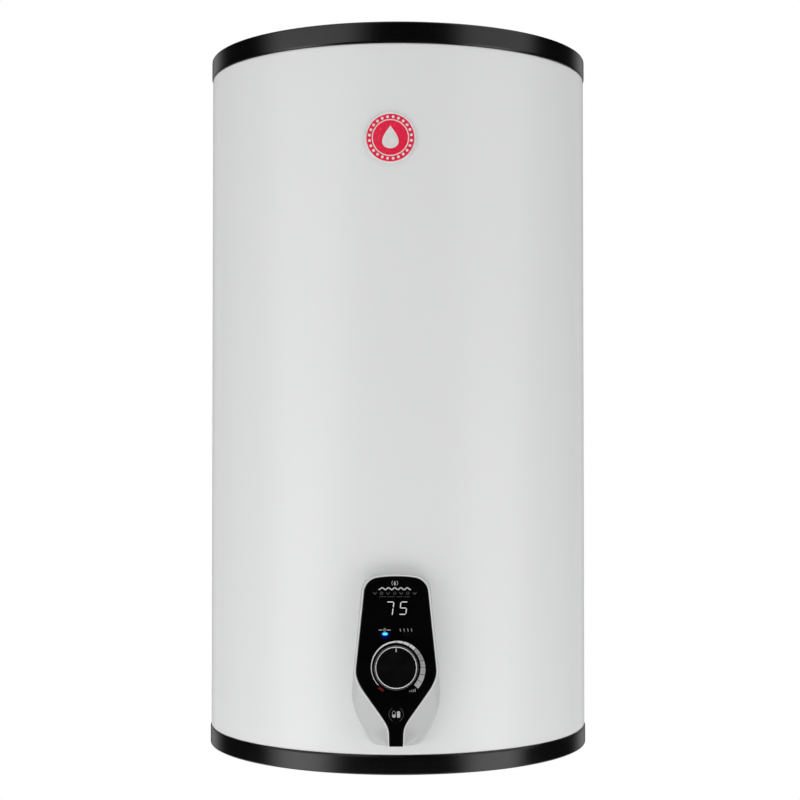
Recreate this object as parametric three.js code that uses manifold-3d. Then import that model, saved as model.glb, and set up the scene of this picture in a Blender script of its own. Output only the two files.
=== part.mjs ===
// Wall-hung electric storage water heater: an insulated steel tank in a sheet-metal casing with
// moulded end caps, a control panel on the front and two steel brackets on the back.
// Millimetres, +Z up. The front faces -Y and the wall is on the +Y side.
import * as THREE from "three";
import { mergeVertices } from "three/addons/utils/BufferGeometryUtils.js";
import Module from "manifold-3d";

const wasm = await Module();
wasm.setup();

// ---------------------------------------------------------------- driving dimensions
// Heights run up from the underside of the bottom cap, and the casing's axis is x = 0, y = 0.
// The last lines move the origin to the back of the upper bracket.
const FIT = 0.3; // clearance between two pieces that meet
const CASING_SEGMENTS = 48; // facets round the casing
const TANK_SEGMENTS = 32; // facets round the tank and the insulation
const ROUND = 16; // facets round a small piece

const CAP_RADIUS = 225;
const BODY_HEIGHT = 815;
const BOTTOM_BAND = 21; // visible height of the bottom cap
const TOP_BAND = 23; // visible height of the top cap
const CAP_REVEAL = 1; // how far the caps stand proud of the shell
const CAP_WALL = 3;
const CAP_EDGE = 3; // corner radius of the caps
const CAP_SPIGOT = 11; // how far a cap reaches into the shell
const TOP_CROWN = 6; // rise of the top cap's middle
const TOP_RIM = 20; // flat ring round the crown
const SHELL_WALL = 0.8;

const INSULATION = 27.6; // foam between the shell and the tank
const INSULATION_FLOOR = 36; // underside of the foam, over the service space
const WELL_RADIUS = 115; // open middle of the foam, below the tank
const TANK_WALL = 2;
const TANK_TOP_ROOM = 25; // top of the tank below the top of the casing
const TANK_BOTTOM = 72; // lowest point of the tank
const DOME_RISE = 55;
const DOME_SKIRT = 10; // how far a dome slides into the tank wall

const FLANGE_RADIUS = 61;
const FLANGE_BORE = 42;
const FLANGE_FACE = 56; // height of the collar's sealing face
const FLANGE_COLLAR_HEIGHT = 24;
const FLANGE_BOLTS = 4;
const FLANGE_BOLT_CIRCLE = 53; // radius through the bolts
const FLANGE_BOLT_RADIUS = 4;
const GASKET_WALL = 6;
const GASKET_HEIGHT = 2.5;
const FLANGE_PLATE = 3;

const ELEMENT_TUBE = 4.2; // radius of the heating element's tube
const ELEMENT_LEG = 14; // half distance between its legs at the flange
const ELEMENT_TOP = 330;
const PIN_RADIUS = 1.5;
const ANODE_RADIUS = 11;
const ANODE_LENGTH = 220;
const ANODE_Y = 24;
const STUD_RADIUS = 2.5;
const POCKET_RADIUS = 5;
const POCKET_TOP = 250;
const POCKET_Y = -22;
const PROBE_LENGTH = 40;
const CUTOUT_RADIUS = 9.5;
const CUTOUT_HEIGHT = 15;
const CUTOUT_X = -30;
const CUTOUT_Y = -18;
const RESET_RADIUS = 2;
const RESET_PROUD = 3;
const RESET_TRAVEL = 1.5;

const PIPE_SPACING = 100; // between the two water connections
const PIPE_Y = 80;
const PIPE_RADIUS = 10.5; // half-inch pipe thread, outside
const PIPE_BORE = 7.5;
const PIPE_PROUD = 22; // below the bottom cap
const PIPE_TOP = 100;
const DIP_TUBE_WALL = 1.2;

const SERVICE_RADIUS = 70; // opening in the bottom cap
const COVER_FLANGE = 6;
const COVER_SCREWS = 3;
const GLAND_X = -60;
const GLAND_Y = -105;
const GLAND_BORE = 4.2;
const GLAND_SLEEVE = 8; // the part of the gland inside the cap's hole
const COVER_PLATE = 2.3;
const LEAD_RADIUS = 1.6;
const BOARD_WIDTH = 90;
const BOARD_DEPTH = 76;
const BOARD_THICKNESS = 1.6;
const BOARD_POST = 8.7; // height of the posts under the power board

const WALL_GAP = 18; // between the back of the shell and the wall
const BRACKET_STEEL = 2.5;
const BRACKET_HEIGHT = 60;
const BRACKET_HALF_WIDTH = 92; // of the plate on the wall
const BRACKET_FOOT = 30;
const BRACKET_FOOT_ANGLE = 32; // degrees round from the back
const UPPER_BRACKET_DROP = 150; // centre of the upper bracket below the top
const LOWER_BRACKET_RISE = 170; // centre of the lower bracket above the bottom
const KEYHOLE_X = 60;
const KEYHOLE_HEAD = 9; // radius of its round part
const KEYHOLE_SLOT = 5.5; // half width of its slot
const KEYHOLE_RISE = 22;
const NUT_RADIUS = 7.5;
const NUT_HEIGHT = 6.5;
const TANK_STUD_RADIUS = 4;

const PANEL_X = -2.5; // the panel's centre line
const PANEL_TILT = 8; // degrees that the panel's face looks up
const PANEL_DEPTH = 27; // from the shell to the front of the fascia, level with the knob
const PANEL_BOTTOM = 37.5; // before the panel is tilted about the knob's centre
const PANEL_HEIGHT = 181.4;
const PANEL_WALL = 2.5;
const PANEL_BEZEL = 1.7; // white edge left round the fascia
const FASCIA_THICKNESS = 1.8;
const FASCIA_TOP_HALF = 34;
const FASCIA_HALF = 42.6; // widest, level with the knob
const STEM_HALF = 7;
const WING_HALF = 47.8; // widest, below the knob

const KNOB_HEIGHT = 81.4; // above the panel's bottom edge
const KNOB_RADIUS = 22.3;
const KNOB_PROUD = 12;
const KNOB_RING = 2.2; // width of the bright ring
const BEZEL_RING = 1.4; // width of the fixed ring round the knob
const SPINDLE_RADIUS = 3;
const BUTTON_HEIGHT = 32.4;
const BUTTON_RADIUS = 8.2;
const BUTTON_TRAVEL = 0.8;
const LAMP_HEIGHT = 117;
const POWER_LAMP_X = -11.8;
const HEATING_LAMP_X = 10.4;
const LAMP_HALF_WIDTH = 3.2;
const LAMP_HALF_HEIGHT = 1.7;
const DISPLAY_HEIGHT = 144.3;
const DISPLAY_HALF_WIDTH = 16;
const DISPLAY_HALF_HEIGHT = 11;
const PANEL_BOARD_BACK = 11; // from the fascia's back to the panel board
const HARNESS_RADIUS = 2.5;
const HARNESS_HEIGHT = 60; // where it passes through the shell

const BADGE_X = -8.7;
const BADGE_Z = 688;
const BADGE_RADIUS = 27.5;
const BADGE_RIM = 2;
const BADGE_THICKNESS = 2;

// ---------------------------------------------------------------- sizes that follow from them
const SHELL_RADIUS = CAP_RADIUS - CAP_REVEAL;
const SHELL_INNER = SHELL_RADIUS - SHELL_WALL;
const SPIGOT_RADIUS = SHELL_INNER - FIT;
const SPIGOT_INNER = SPIGOT_RADIUS - CAP_WALL;
const SHELL_BOTTOM = BOTTOM_BAND + FIT;
const SHELL_TOP = BODY_HEIGHT - TOP_BAND - FIT;
const FACET_SHRINK = Math.cos(Math.PI / CASING_SEGMENTS); // flat to corner radius of the casing
const FOAM_RADIUS = SHELL_INNER * FACET_SHRINK - FIT;
const TANK_RADIUS = FOAM_RADIUS - INSULATION;
const TANK_INNER = TANK_RADIUS - TANK_WALL;
const DOME_RADIUS = TANK_INNER - FIT;
const TANK_WALL_BOTTOM = TANK_BOTTOM + DOME_RISE;
const TANK_TOP = BODY_HEIGHT - TANK_TOP_ROOM;
const TANK_WALL_TOP = TANK_TOP - DOME_RISE;
const PLATE_TOP = FLANGE_FACE - FIT - GASKET_HEIGHT - FIT;
const PLATE_BOTTOM = PLATE_TOP - FLANGE_PLATE;
const PIN_BOTTOM = PLATE_BOTTOM - 18 - 2 * FIT; // end of a lead, under its pin
const PIPE_SLEEVE = PIPE_RADIUS + 3;
const ANODE_BOTTOM = FLANGE_FACE + FLANGE_COLLAR_HEIGHT + 20;
const PROBE_TOP = POCKET_TOP - 5;
const PROBE_BOTTOM = PROBE_TOP - PROBE_LENGTH;
const CUTOUT_TOP = PLATE_BOTTOM - FIT;
const CUTOUT_BOTTOM = CUTOUT_TOP - CUTOUT_HEIGHT;
const BOARD_FRONT = -(SPIGOT_INNER - 13);
const BOARD_BACK = BOARD_FRONT + BOARD_DEPTH;
const BOARD_BOTTOM = CAP_WALL + BOARD_POST + FIT;
const POST_X = BOARD_WIDTH / 2 - 6;
const PAD_Y = BOARD_BACK - 12; // where the leads meet the board
const PAD_Z = BOARD_BOTTOM + BOARD_THICKNESS + FIT;
const WALL_Y = SHELL_RADIUS + WALL_GAP;
const FOOT_RADIUS = SHELL_RADIUS + FIT; // inner face of a bracket foot
const UPPER_BRACKET_Z = BODY_HEIGHT - UPPER_BRACKET_DROP;
const BRACKET_LEVELS = [UPPER_BRACKET_Z, LOWER_BRACKET_RISE];
const STUD_ANGLES = [BRACKET_FOOT_ANGLE, -BRACKET_FOOT_ANGLE];
const FASCIA_Y = -(SHELL_RADIUS + PANEL_DEPTH);
const FASCIA_BACK = FASCIA_Y + FASCIA_THICKNESS;
const PANEL_FLOOR = FASCIA_BACK + FIT; // front wall of the housing, under the fascia
const PANEL_INSIDE = PANEL_FLOOR + PANEL_WALL;
const PANEL_BOARD_Y = FASCIA_BACK + PANEL_BOARD_BACK;
const ENCODER_FRONT = PANEL_INSIDE + FIT;
const SPINDLE_END = ENCODER_FRONT + 3;
const SWITCH_FRONT = PANEL_BOARD_Y - FIT - 4.5;
const RING_INNER = KNOB_RADIUS - KNOB_RING;
const KNOB_Z = PANEL_BOTTOM + KNOB_HEIGHT;
const BUTTON_Z = PANEL_BOTTOM + BUTTON_HEIGHT;
const LAMP_Z = PANEL_BOTTOM + LAMP_HEIGHT;
const DISPLAY_Z = PANEL_BOTTOM + DISPLAY_HEIGHT;

// ---------------------------------------------------------------- solids
// A geometry as a manifold-3d solid, with its faces turned outwards.
function solid(geometry) {
  geometry.deleteAttribute("normal");
  geometry.deleteAttribute("uv");
  const merged = mergeVertices(geometry, 1e-4);
  const p = merged.attributes.position.array;
  const faces = [];
  let volume = 0;
  for (let i = 0; i < merged.index.count; i += 3) {
    const [a, b, c] = merged.index.array.slice(i, i + 3);
    if (a === b || b === c || c === a) continue;
    const corners = [a, b, c].map((k) => new THREE.Vector3().fromArray(p, 3 * k));
    volume += corners[0].dot(corners[1].cross(corners[2]));
    faces.push([a, b, c]);
  }
  const triVerts = new Uint32Array(faces.flatMap((f) => (volume < 0 ? f.reverse() : f)));
  return new wasm.Manifold(new wasm.Mesh({ numProp: 3, vertProperties: p, triVerts }));
}

// A solid of revolution about Z from [radius, height] points, on the axis or closed on itself.
function lathe(profile, segments = ROUND) {
  const onAxis = profile[0][0] === 0 && profile.at(-1)[0] === 0;
  const loop = onAxis ? profile : [...profile, profile[0]];
  const points = loop.map(([r, z]) => new THREE.Vector2(r, z));
  return solid(new THREE.LatheGeometry(points, segments).rotateX(Math.PI / 2));
}

function ring(inner, outer, z0, z1, segments = ROUND) {
  return lathe([[inner, z0], [outer, z0], [outer, z1], [inner, z1]], segments);
}

function rod(radius, z0, z1, segments = ROUND) {
  return lathe([[0, z0], [radius, z0], [radius, z1], [0, z1]], segments);
}

// A rod along Y.
function crossRod(radius, y0, y1, segments = ROUND) {
  const rodAlongY = new THREE.CylinderGeometry(radius, radius, y1 - y0, segments);
  return solid(rodAlongY.translate(0, (y0 + y1) / 2, 0));
}

function block(x0, x1, y0, y1, z0, z1) {
  const size = new THREE.BoxGeometry(x1 - x0, y1 - y0, z1 - z0);
  return solid(size.translate((x0 + x1) / 2, (y0 + y1) / 2, (z0 + z1) / 2));
}

function extruded(points, depth) {
  const shape = new THREE.Shape(points.map(([u, v]) => new THREE.Vector2(u, v)));
  return new THREE.ExtrudeGeometry(shape, { depth, bevelEnabled: false });
}

// A plan outline of [x, y] points, raised along Z.
function upright(points, z0, z1) {
  return solid(extruded(points, z1 - z0).translate(0, 0, z0));
}

// A front outline of [x, z] points, carried along Y.
function frontPlate(points, y0, y1) {
  return solid(extruded(points, y1 - y0).rotateX(Math.PI / 2).translate(0, y1, 0));
}

// A round tube or wire through the given points.
function wire(points, radius, steps, sides = 6) {
  const path = new THREE.CatmullRomCurve3(points.map((p) => new THREE.Vector3(...p)));
  const corners = circle(radius, radius, sides).map(([x, y]) => new THREE.Vector2(x, y));
  const options = { steps, bevelEnabled: false, extrudePath: path };
  return solid(new THREE.ExtrudeGeometry(new THREE.Shape(corners), options));
}

function circle(halfWidth, halfHeight, count) {
  const turn = (i) => (2 * Math.PI * i) / count;
  return Array.from({ length: count }, (_, i) => [
    halfWidth * Math.cos(turn(i)),
    halfHeight * Math.sin(turn(i)),
  ]);
}

// Points of an arc about [0, height].
function arc(height, radius, from, to, steps) {
  return Array.from({ length: steps + 1 }, (_, i) => {
    const a = from + ((to - from) * i) / steps;
    return [radius * Math.cos(a), height + radius * Math.sin(a)];
  });
}

// Points of an ellipse quarter from [a, 0] towards [0, b], up to the radius `stop`.
function dome(a, b, stop, steps) {
  const last = Math.acos(stop / a);
  return Array.from({ length: steps + 1 }, (_, i) => {
    const t = (last * i) / steps;
    return [i === steps ? stop : a * Math.cos(t), b * Math.sin(t)];
  });
}

// Places at equal angles on a circle about the axis.
function around(count, radius, first = 0) {
  return Array.from({ length: count }, (_, i) => {
    const angle = first + (2 * Math.PI * i) / count;
    return [radius * Math.cos(angle), radius * Math.sin(angle)];
  });
}

function cut(from, ...tools) {
  return tools.flat().reduce((left, tool) => left.subtract(tool), from);
}

function join(...pieces) {
  return pieces.flat().reduce((sum, piece) => sum.add(piece));
}

// ---------------------------------------------------------------- scene graph
const assembly = new THREE.Group();
const panel = new THREE.Group();
const badge = new THREE.Group();
const knob = new THREE.Group();
const tilt = new THREE.Group();
tilt.position.set(PANEL_X, FASCIA_Y, KNOB_Z);
tilt.rotation.x = THREE.MathUtils.degToRad(-PANEL_TILT);
tilt.add(panel);
panel.position.set(0, -FASCIA_Y, -KNOB_Z);
badge.rotation.z = Math.asin(BADGE_X / SHELL_RADIUS);
badge.position.z = BADGE_Z;
knob.position.set(0, FASCIA_Y, KNOB_Z);
knob.rotation.x = Math.PI / 2; // the knob's own +Z points out of the panel
panel.add(knob);
assembly.add(tilt, badge);

function finish(color, roughness, metalness = 0) {
  return { color, roughness, metalness };
}
const WHITE_STEEL = finish(0xdadada, 0.35);
const BLACK_PLASTIC = finish(0x161616, 0.45);
const WHITE_PLASTIC = finish(0xd2d2d2, 0.4);
const GLOSS_BLACK = finish(0x030303, 0.08);
const BRIGHT_METAL = finish(0xc8c8c8, 0.2, 1);
const PLAIN_STEEL = finish(0x8f9296, 0.4, 1);
const ENAMELLED_STEEL = finish(0x3c4a63, 0.35);
const FOAM = finish(0xe6d9a8, 0.9);
const RUBBER = finish(0x2b2b2b, 0.8);
const COPPER = finish(0xb87048, 0.3, 1);
const MAGNESIUM = finish(0x9a9c9e, 0.6, 1);
const RED_PLASTIC = finish(0xb3202c, 0.4);
const BLUE_PLASTIC = finish(0x1f4fa8, 0.4);
const GREEN_BOARD = finish(0x1f5b33, 0.5);
const BEIGE_PLASTIC = finish(0xcfc6ae, 0.6);
const BLUE_LENS = finish(0x36c5ff, 0.2);
const DARK_LENS = finish(0x14100f, 0.2);
const RED_ENAMEL = finish(0xd8213d, 0.25);

function piece(name, shape, look, place = [0, 0, 0], parent = assembly) {
  const mesh = shape.getMesh();
  const geometry = new THREE.BufferGeometry();
  geometry.setAttribute("position", new THREE.BufferAttribute(mesh.vertProperties, 3));
  geometry.setIndex(new THREE.BufferAttribute(mesh.triVerts, 1));
  const node = new THREE.Mesh(geometry, new THREE.MeshStandardMaterial(look));
  node.name = name;
  node.position.set(...place);
  parent.add(node);
}

// ---------------------------------------------------------------- casing
// A radial rod at each bracket stud: the studs themselves, and the holes they pass through.
function studRods(radius, inner, outer) {
  return BRACKET_LEVELS.flatMap((z) =>
    STUD_ANGLES.map((angle) =>
      crossRod(radius, inner, outer, 12).rotate([0, 0, -angle]).translate([0, 0, z]),
    ),
  );
}

function outerShell() {
  const sheet = ring(SHELL_INNER, SHELL_RADIUS, SHELL_BOTTOM, SHELL_TOP, CASING_SEGMENTS);
  const hole = HARNESS_RADIUS + 3;
  const passage = crossRod(hole, -SHELL_RADIUS - 1, -SHELL_INNER + 5, 12);
  const holes = studRods(TANK_STUD_RADIUS + 1, TANK_RADIUS, SHELL_RADIUS + 1);
  return cut(sheet, holes, passage.translate([PANEL_X, 0, HARNESS_HEIGHT]));
}

// The caps share one wall: outside corner, band, shoulder for the shell, spigot and inside wall.
function capWall(edgeZ, up) {
  const corner = [0, 45, 90].map(THREE.MathUtils.degToRad).map((a) => [
    CAP_RADIUS - CAP_EDGE * (1 - Math.sin(a)),
    edgeZ + up * CAP_EDGE * (1 - Math.cos(a)),
  ]);
  const band = up > 0 ? BOTTOM_BAND : TOP_BAND;
  return [
    ...corner,
    [CAP_RADIUS, edgeZ + up * band],
    [SPIGOT_RADIUS, edgeZ + up * band],
    [SPIGOT_RADIUS, edgeZ + up * (band + CAP_SPIGOT)],
    [SPIGOT_INNER, edgeZ + up * (band + CAP_SPIGOT)],
    [SPIGOT_INNER, edgeZ + up * CAP_WALL],
  ];
}

function topCap() {
  const rim = CAP_RADIUS - TOP_RIM;
  const crown = [0, 1, 2, 3].map((i) => [
    (rim * i) / 3,
    BODY_HEIGHT + TOP_CROWN * Math.cos((Math.PI / 6) * i),
  ]);
  const groove = [
    [rim + 2, BODY_HEIGHT - 1.5],
    [rim + 5, BODY_HEIGHT - 1.5],
    [rim + 7, BODY_HEIGHT],
  ];
  const underside = crown.map(([r, z]) => [r, z - CAP_WALL]).reverse();
  return lathe([...crown, ...groove, ...capWall(BODY_HEIGHT, -1), ...underside], CASING_SEGMENTS);
}

const pipes = [-1, 1].map((side) => [(side * PIPE_SPACING) / 2, PIPE_Y]);
const coverScrewPlaces = around(COVER_SCREWS, SERVICE_RADIUS + COVER_FLANGE / 2, Math.PI / 2);

function bottomCap() {
  const floor = [[SERVICE_RADIUS, CAP_WALL], [SERVICE_RADIUS, 0]];
  const dish = lathe([...floor, ...capWall(0, 1)], CASING_SEGMENTS);
  const posts = [BOARD_FRONT + 6, BOARD_BACK - 6].flatMap((y) =>
    [-1, 1].map((side) => rod(3, 1, CAP_WALL + BOARD_POST, 8).translate([side * POST_X, y, 0])),
  );
  const holes = [
    ...pipes.map(([x, y]) => rod(PIPE_SLEEVE + FIT, -1, CAP_WALL + 1).translate([x, y, 0])),
    ...coverScrewPlaces.map(([x, y]) => rod(1.8, -1, CAP_WALL + 1, 8).translate([x, y, 0])),
    rod(GLAND_SLEEVE + FIT, -1, CAP_WALL + 1).translate([GLAND_X, GLAND_Y, 0]),
  ];
  return cut(join(dish, posts), holes);
}

function serviceCover() {
  const lip = SERVICE_RADIUS - FIT;
  const plate = lathe([
    [0, -FIT - COVER_PLATE],
    [SERVICE_RADIUS + COVER_FLANGE, -FIT - COVER_PLATE],
    [SERVICE_RADIUS + COVER_FLANGE, -FIT],
    [lip, -FIT],
    [lip, 7],
    [lip - 2.4, 7],
    [lip - 2.4, -FIT],
    [0, -FIT],
  ], 32);
  const holes = coverScrewPlaces.map(([x, y]) => rod(1.8, -5, 1, 8).translate([x, y, 0]));
  const notches = coverScrewPlaces.map(([x, y]) => rod(4, 0, 9, 10).translate([x, y, 0]));
  return cut(plate, holes, notches);
}

function coverScrew() {
  const head = -COVER_PLATE - 2 * FIT;
  return lathe([
    [0, head - 2.2],
    [2.2, head - 2.2],
    [3.2, head - 1.2],
    [3.2, head],
    [1.5, head],
    [1.5, CAP_WALL - 0.4],
    [0, CAP_WALL - 0.4],
  ], 12);
}

function cableGland() {
  return lathe([
    [GLAND_BORE, -16],
    [7, -16],
    [9, -12],
    [9, -6],
    [12, -6],
    [12, -FIT],
    [GLAND_SLEEVE, -FIT],
    [GLAND_SLEEVE, 12],
    [GLAND_BORE, 12],
  ]);
}

function pipeCollar() {
  return lathe([
    [PIPE_RADIUS + FIT, -4],
    [PIPE_SLEEVE + 2.4, -4],
    [PIPE_SLEEVE + 2.4, -FIT],
    [PIPE_SLEEVE, -FIT],
    [PIPE_SLEEVE, CAP_WALL + 1],
    [PIPE_RADIUS + FIT, CAP_WALL + 1],
  ]);
}

piece("outer_shell", outerShell(), WHITE_STEEL);
piece("top_cap", topCap(), BLACK_PLASTIC);
piece("bottom_cap", bottomCap(), BLACK_PLASTIC);
piece("service_cover", serviceCover(), BLACK_PLASTIC);
coverScrewPlaces.forEach(([x, y], i) =>
  piece(`cover_screw_${i + 1}`, coverScrew(), PLAIN_STEEL, [x, y, 0]),
);
piece("cable_gland", cableGland(), BLACK_PLASTIC, [GLAND_X, GLAND_Y, 0]);

// ---------------------------------------------------------------- tank and insulation
function tankDome(level, up) {
  const stop = up > 0 ? 0 : FLANGE_RADIUS + FIT;
  const place = ([r, z]) => [r, level + up * z];
  const outside = dome(DOME_RADIUS, DOME_RISE, stop, 5).map(place);
  const inside = dome(DOME_RADIUS - TANK_WALL, DOME_RISE - TANK_WALL, stop, 5).map(place);
  const skirt = [
    [DOME_RADIUS - TANK_WALL, level - up * DOME_SKIRT],
    [DOME_RADIUS, level - up * DOME_SKIRT],
  ];
  return lathe([...inside.reverse(), ...skirt, ...outside], TANK_SEGMENTS);
}

function tankWall() {
  const wall = ring(TANK_INNER, TANK_RADIUS, TANK_WALL_BOTTOM, TANK_WALL_TOP, TANK_SEGMENTS);
  const studTip = FOOT_RADIUS + BRACKET_STEEL + FIT + NUT_HEIGHT + 2.5;
  return join(wall, studRods(TANK_STUD_RADIUS, TANK_RADIUS - 1, studTip));
}

// The foam fills the casing down to its floor, round the tank, with a well below the tank, a
// channel for the panel's harness and a hole round each bracket stud.
function insulation() {
  const room = TANK_RADIUS + FIT;
  const rise = DOME_RISE + 2.5;
  const top = BODY_HEIGHT - CAP_WALL - FIT;
  const neck = SPIGOT_INNER * FACET_SHRINK - FIT;
  const shoulder = BODY_HEIGHT - TOP_BAND - CAP_SPIGOT - FIT;
  const over = dome(room, rise, 0, 5).map(([r, z]) => [r, TANK_WALL_TOP + z]);
  const under = dome(room, rise, WELL_RADIUS, 4).map(([r, z]) => [r, TANK_WALL_BOTTOM - z]);
  const body = lathe([
    [0, top],
    [neck, top],
    [neck, shoulder],
    [FOAM_RADIUS, shoulder],
    [FOAM_RADIUS, INSULATION_FLOOR],
    [WELL_RADIUS, INSULATION_FLOOR],
    ...under.reverse(),
    ...over,
  ], TANK_SEGMENTS);
  const half = HARNESS_RADIUS + 3;
  const channel = block(
    PANEL_X - half, PANEL_X + half,
    -SHELL_RADIUS, -SHELL_RADIUS + 14,
    INSULATION_FLOOR - 1, HARNESS_HEIGHT + 12,
  );
  return cut(body, channel, studRods(TANK_STUD_RADIUS + 1, TANK_RADIUS - 2, SHELL_RADIUS));
}

function pipeNipple() {
  return ring(PIPE_BORE, PIPE_RADIUS, -PIPE_PROUD, PIPE_TOP);
}

function bottomDome() {
  const holes = pipes.map(([x, y]) =>
    rod(PIPE_RADIUS + FIT, 0, PIPE_TOP).translate([x, y, 0]),
  );
  return cut(tankDome(TANK_WALL_BOTTOM, -1), holes);
}

// A slotted cup over the cold inlet, which turns the incoming water sideways.
function inletDiffuser() {
  const skirt = PIPE_RADIUS + FIT;
  const cup = lathe([
    [skirt, PIPE_TOP - 8],
    [skirt + 3, PIPE_TOP - 8],
    [skirt + 3, PIPE_TOP + 12],
    [0, PIPE_TOP + 12],
    [0, PIPE_TOP + 9],
    [skirt, PIPE_TOP + 9],
  ]);
  const slots = [
    block(-20, 20, -4, 4, PIPE_TOP + 1, PIPE_TOP + 7),
    block(-4, 4, -20, 20, PIPE_TOP + 1, PIPE_TOP + 7),
  ];
  return cut(cup, slots);
}

function dipTube() {
  const outer = PIPE_BORE - FIT;
  return ring(outer - DIP_TUBE_WALL, outer, PIPE_TOP - 40, TANK_TOP - 35, 16);
}

piece("tank_bottom_dome", bottomDome(), ENAMELLED_STEEL);
piece("tank_wall", tankWall(), ENAMELLED_STEEL);
piece("tank_top_dome", tankDome(TANK_WALL_TOP, 1), ENAMELLED_STEEL);
piece("insulation_foam", insulation(), FOAM);
const [coldPipe, hotPipe] = [pipes[1], pipes[0]];
piece("cold_inlet_nipple", pipeNipple(), PLAIN_STEEL, [...coldPipe, 0]);
piece("hot_outlet_nipple", pipeNipple(), PLAIN_STEEL, [...hotPipe, 0]);
piece("cold_collar", pipeCollar(), BLUE_PLASTIC, [...coldPipe, 0]);
piece("hot_collar", pipeCollar(), RED_PLASTIC, [...hotPipe, 0]);
piece("inlet_diffuser", inletDiffuser(), BEIGE_PLASTIC, [...coldPipe, 0]);
piece("hot_dip_tube", dipTube(), PLAIN_STEEL, [...hotPipe, 0]);

// ---------------------------------------------------------------- flange, element and anode
const boltPlaces = around(FLANGE_BOLTS, FLANGE_BOLT_CIRCLE, Math.PI / 4);

function boltHoles(z0, z1) {
  return boltPlaces.map(([x, y]) =>
    rod(FLANGE_BOLT_RADIUS + FIT, z0, z1, 12).translate([x, y, 0]),
  );
}

function flangeCollar() {
  const top = FLANGE_FACE + FLANGE_COLLAR_HEIGHT;
  const blank = ring(FLANGE_BORE, FLANGE_RADIUS, FLANGE_FACE, top, 32);
  return cut(blank, boltHoles(FLANGE_FACE - 1, FLANGE_FACE + 14));
}

function flangePlate() {
  const disc = rod(FLANGE_RADIUS, PLATE_BOTTOM, PLATE_TOP, 32);
  const leg = rod(ELEMENT_TUBE + FIT, PLATE_BOTTOM - 1, PLATE_TOP + 1, 12);
  const through = [
    leg.translate([-ELEMENT_LEG, 0, 0]),
    leg.translate([ELEMENT_LEG, 0, 0]),
    rod(POCKET_RADIUS + FIT, PLATE_BOTTOM - 1, PLATE_TOP + 1, 16).translate([0, POCKET_Y, 0]),
    rod(STUD_RADIUS + FIT, PLATE_BOTTOM - 1, PLATE_TOP + 1, 12).translate([0, ANODE_Y, 0]),
  ];
  return cut(disc, through, boltHoles(PLATE_BOTTOM - 1, PLATE_TOP + 1));
}

function flangeBolt() {
  const head = PLATE_BOTTOM - FIT;
  const hexagon = rod(FLANGE_BOLT_RADIUS * 1.9, head - 5, head, 6);
  return join(hexagon, rod(FLANGE_BOLT_RADIUS, head - 1, FLANGE_FACE + 12, 12));
}

// A folded tube, with a connecting pin at each of its two open ends.
function heatingElement() {
  const start = PLATE_BOTTOM - 8;
  const rise = FLANGE_FACE + FLANGE_COLLAR_HEIGHT;
  const spread = ELEMENT_LEG * 2;
  const leg = (side) => [
    [side * ELEMENT_LEG, 0, start],
    [side * ELEMENT_LEG, 0, PLATE_TOP + 2],
    [side * ELEMENT_LEG, 0, rise],
    [side * spread, -8, rise + 50],
    [side * spread, -12, ELEMENT_TOP - 60],
    [side * ELEMENT_LEG, -12, ELEMENT_TOP - 12],
  ];
  const points = [...leg(-1), [0, -12, ELEMENT_TOP], ...leg(1).reverse()];
  const pins = [-ELEMENT_LEG, ELEMENT_LEG].map((x) =>
    rod(PIN_RADIUS, start - 10, start + 2, 8).translate([x, 0, 0]),
  );
  return join(wire(points, ELEMENT_TUBE, 40), pins);
}

function anodeRod() {
  return lathe([
    [STUD_RADIUS + FIT, ANODE_BOTTOM],
    [ANODE_RADIUS, ANODE_BOTTOM],
    [ANODE_RADIUS, ANODE_BOTTOM + ANODE_LENGTH],
    [0, ANODE_BOTTOM + ANODE_LENGTH],
    [0, ANODE_BOTTOM + 15],
    [STUD_RADIUS + FIT, ANODE_BOTTOM + 15],
  ], 16);
}

function anodeStud() {
  const nutTop = PLATE_BOTTOM - FIT;
  const nut = rod(STUD_RADIUS * 1.9, nutTop - 4, nutTop, 6);
  return join(rod(STUD_RADIUS, nutTop - 7, ANODE_BOTTOM + 12, 12), nut);
}

function sensorPocket() {
  const bottom = PLATE_BOTTOM - 4;
  return lathe([
    [POCKET_RADIUS - 1, bottom],
    [POCKET_RADIUS, bottom],
    [POCKET_RADIUS, POCKET_TOP],
    [0, POCKET_TOP],
    [0, POCKET_TOP - 1.2],
    [POCKET_RADIUS - 1, POCKET_TOP - 1.2],
  ], 16);
}

function cutoutBody() {
  const can = rod(CUTOUT_RADIUS, CUTOUT_BOTTOM, CUTOUT_TOP, 20);
  const depth = RESET_TRAVEL + 3.5;
  return cut(can, rod(RESET_RADIUS + FIT, CUTOUT_BOTTOM - 1, CUTOUT_BOTTOM + depth, 12));
}

function resetButton() {
  return rod(RESET_RADIUS, CUTOUT_BOTTOM - RESET_PROUD, CUTOUT_BOTTOM + 3, 12);
}

function sensorLead() {
  const r = 1.2;
  return wire([
    [0, POCKET_Y, PROBE_BOTTOM - FIT],
    [0, POCKET_Y, PROBE_BOTTOM - 60],
    [0, POCKET_Y, PLATE_TOP + 50],
    [0, POCKET_Y, PLATE_TOP],
    [0, POCKET_Y, PLATE_BOTTOM - 8],
    [0, POCKET_Y - 12, PLATE_BOTTOM - 26],
    [0, (POCKET_Y + PAD_Y) / 2, PAD_Z + 3],
    [0, PAD_Y + 8, PAD_Z + r],
    [0, PAD_Y, PAD_Z + r],
  ], r, 30);
}

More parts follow.
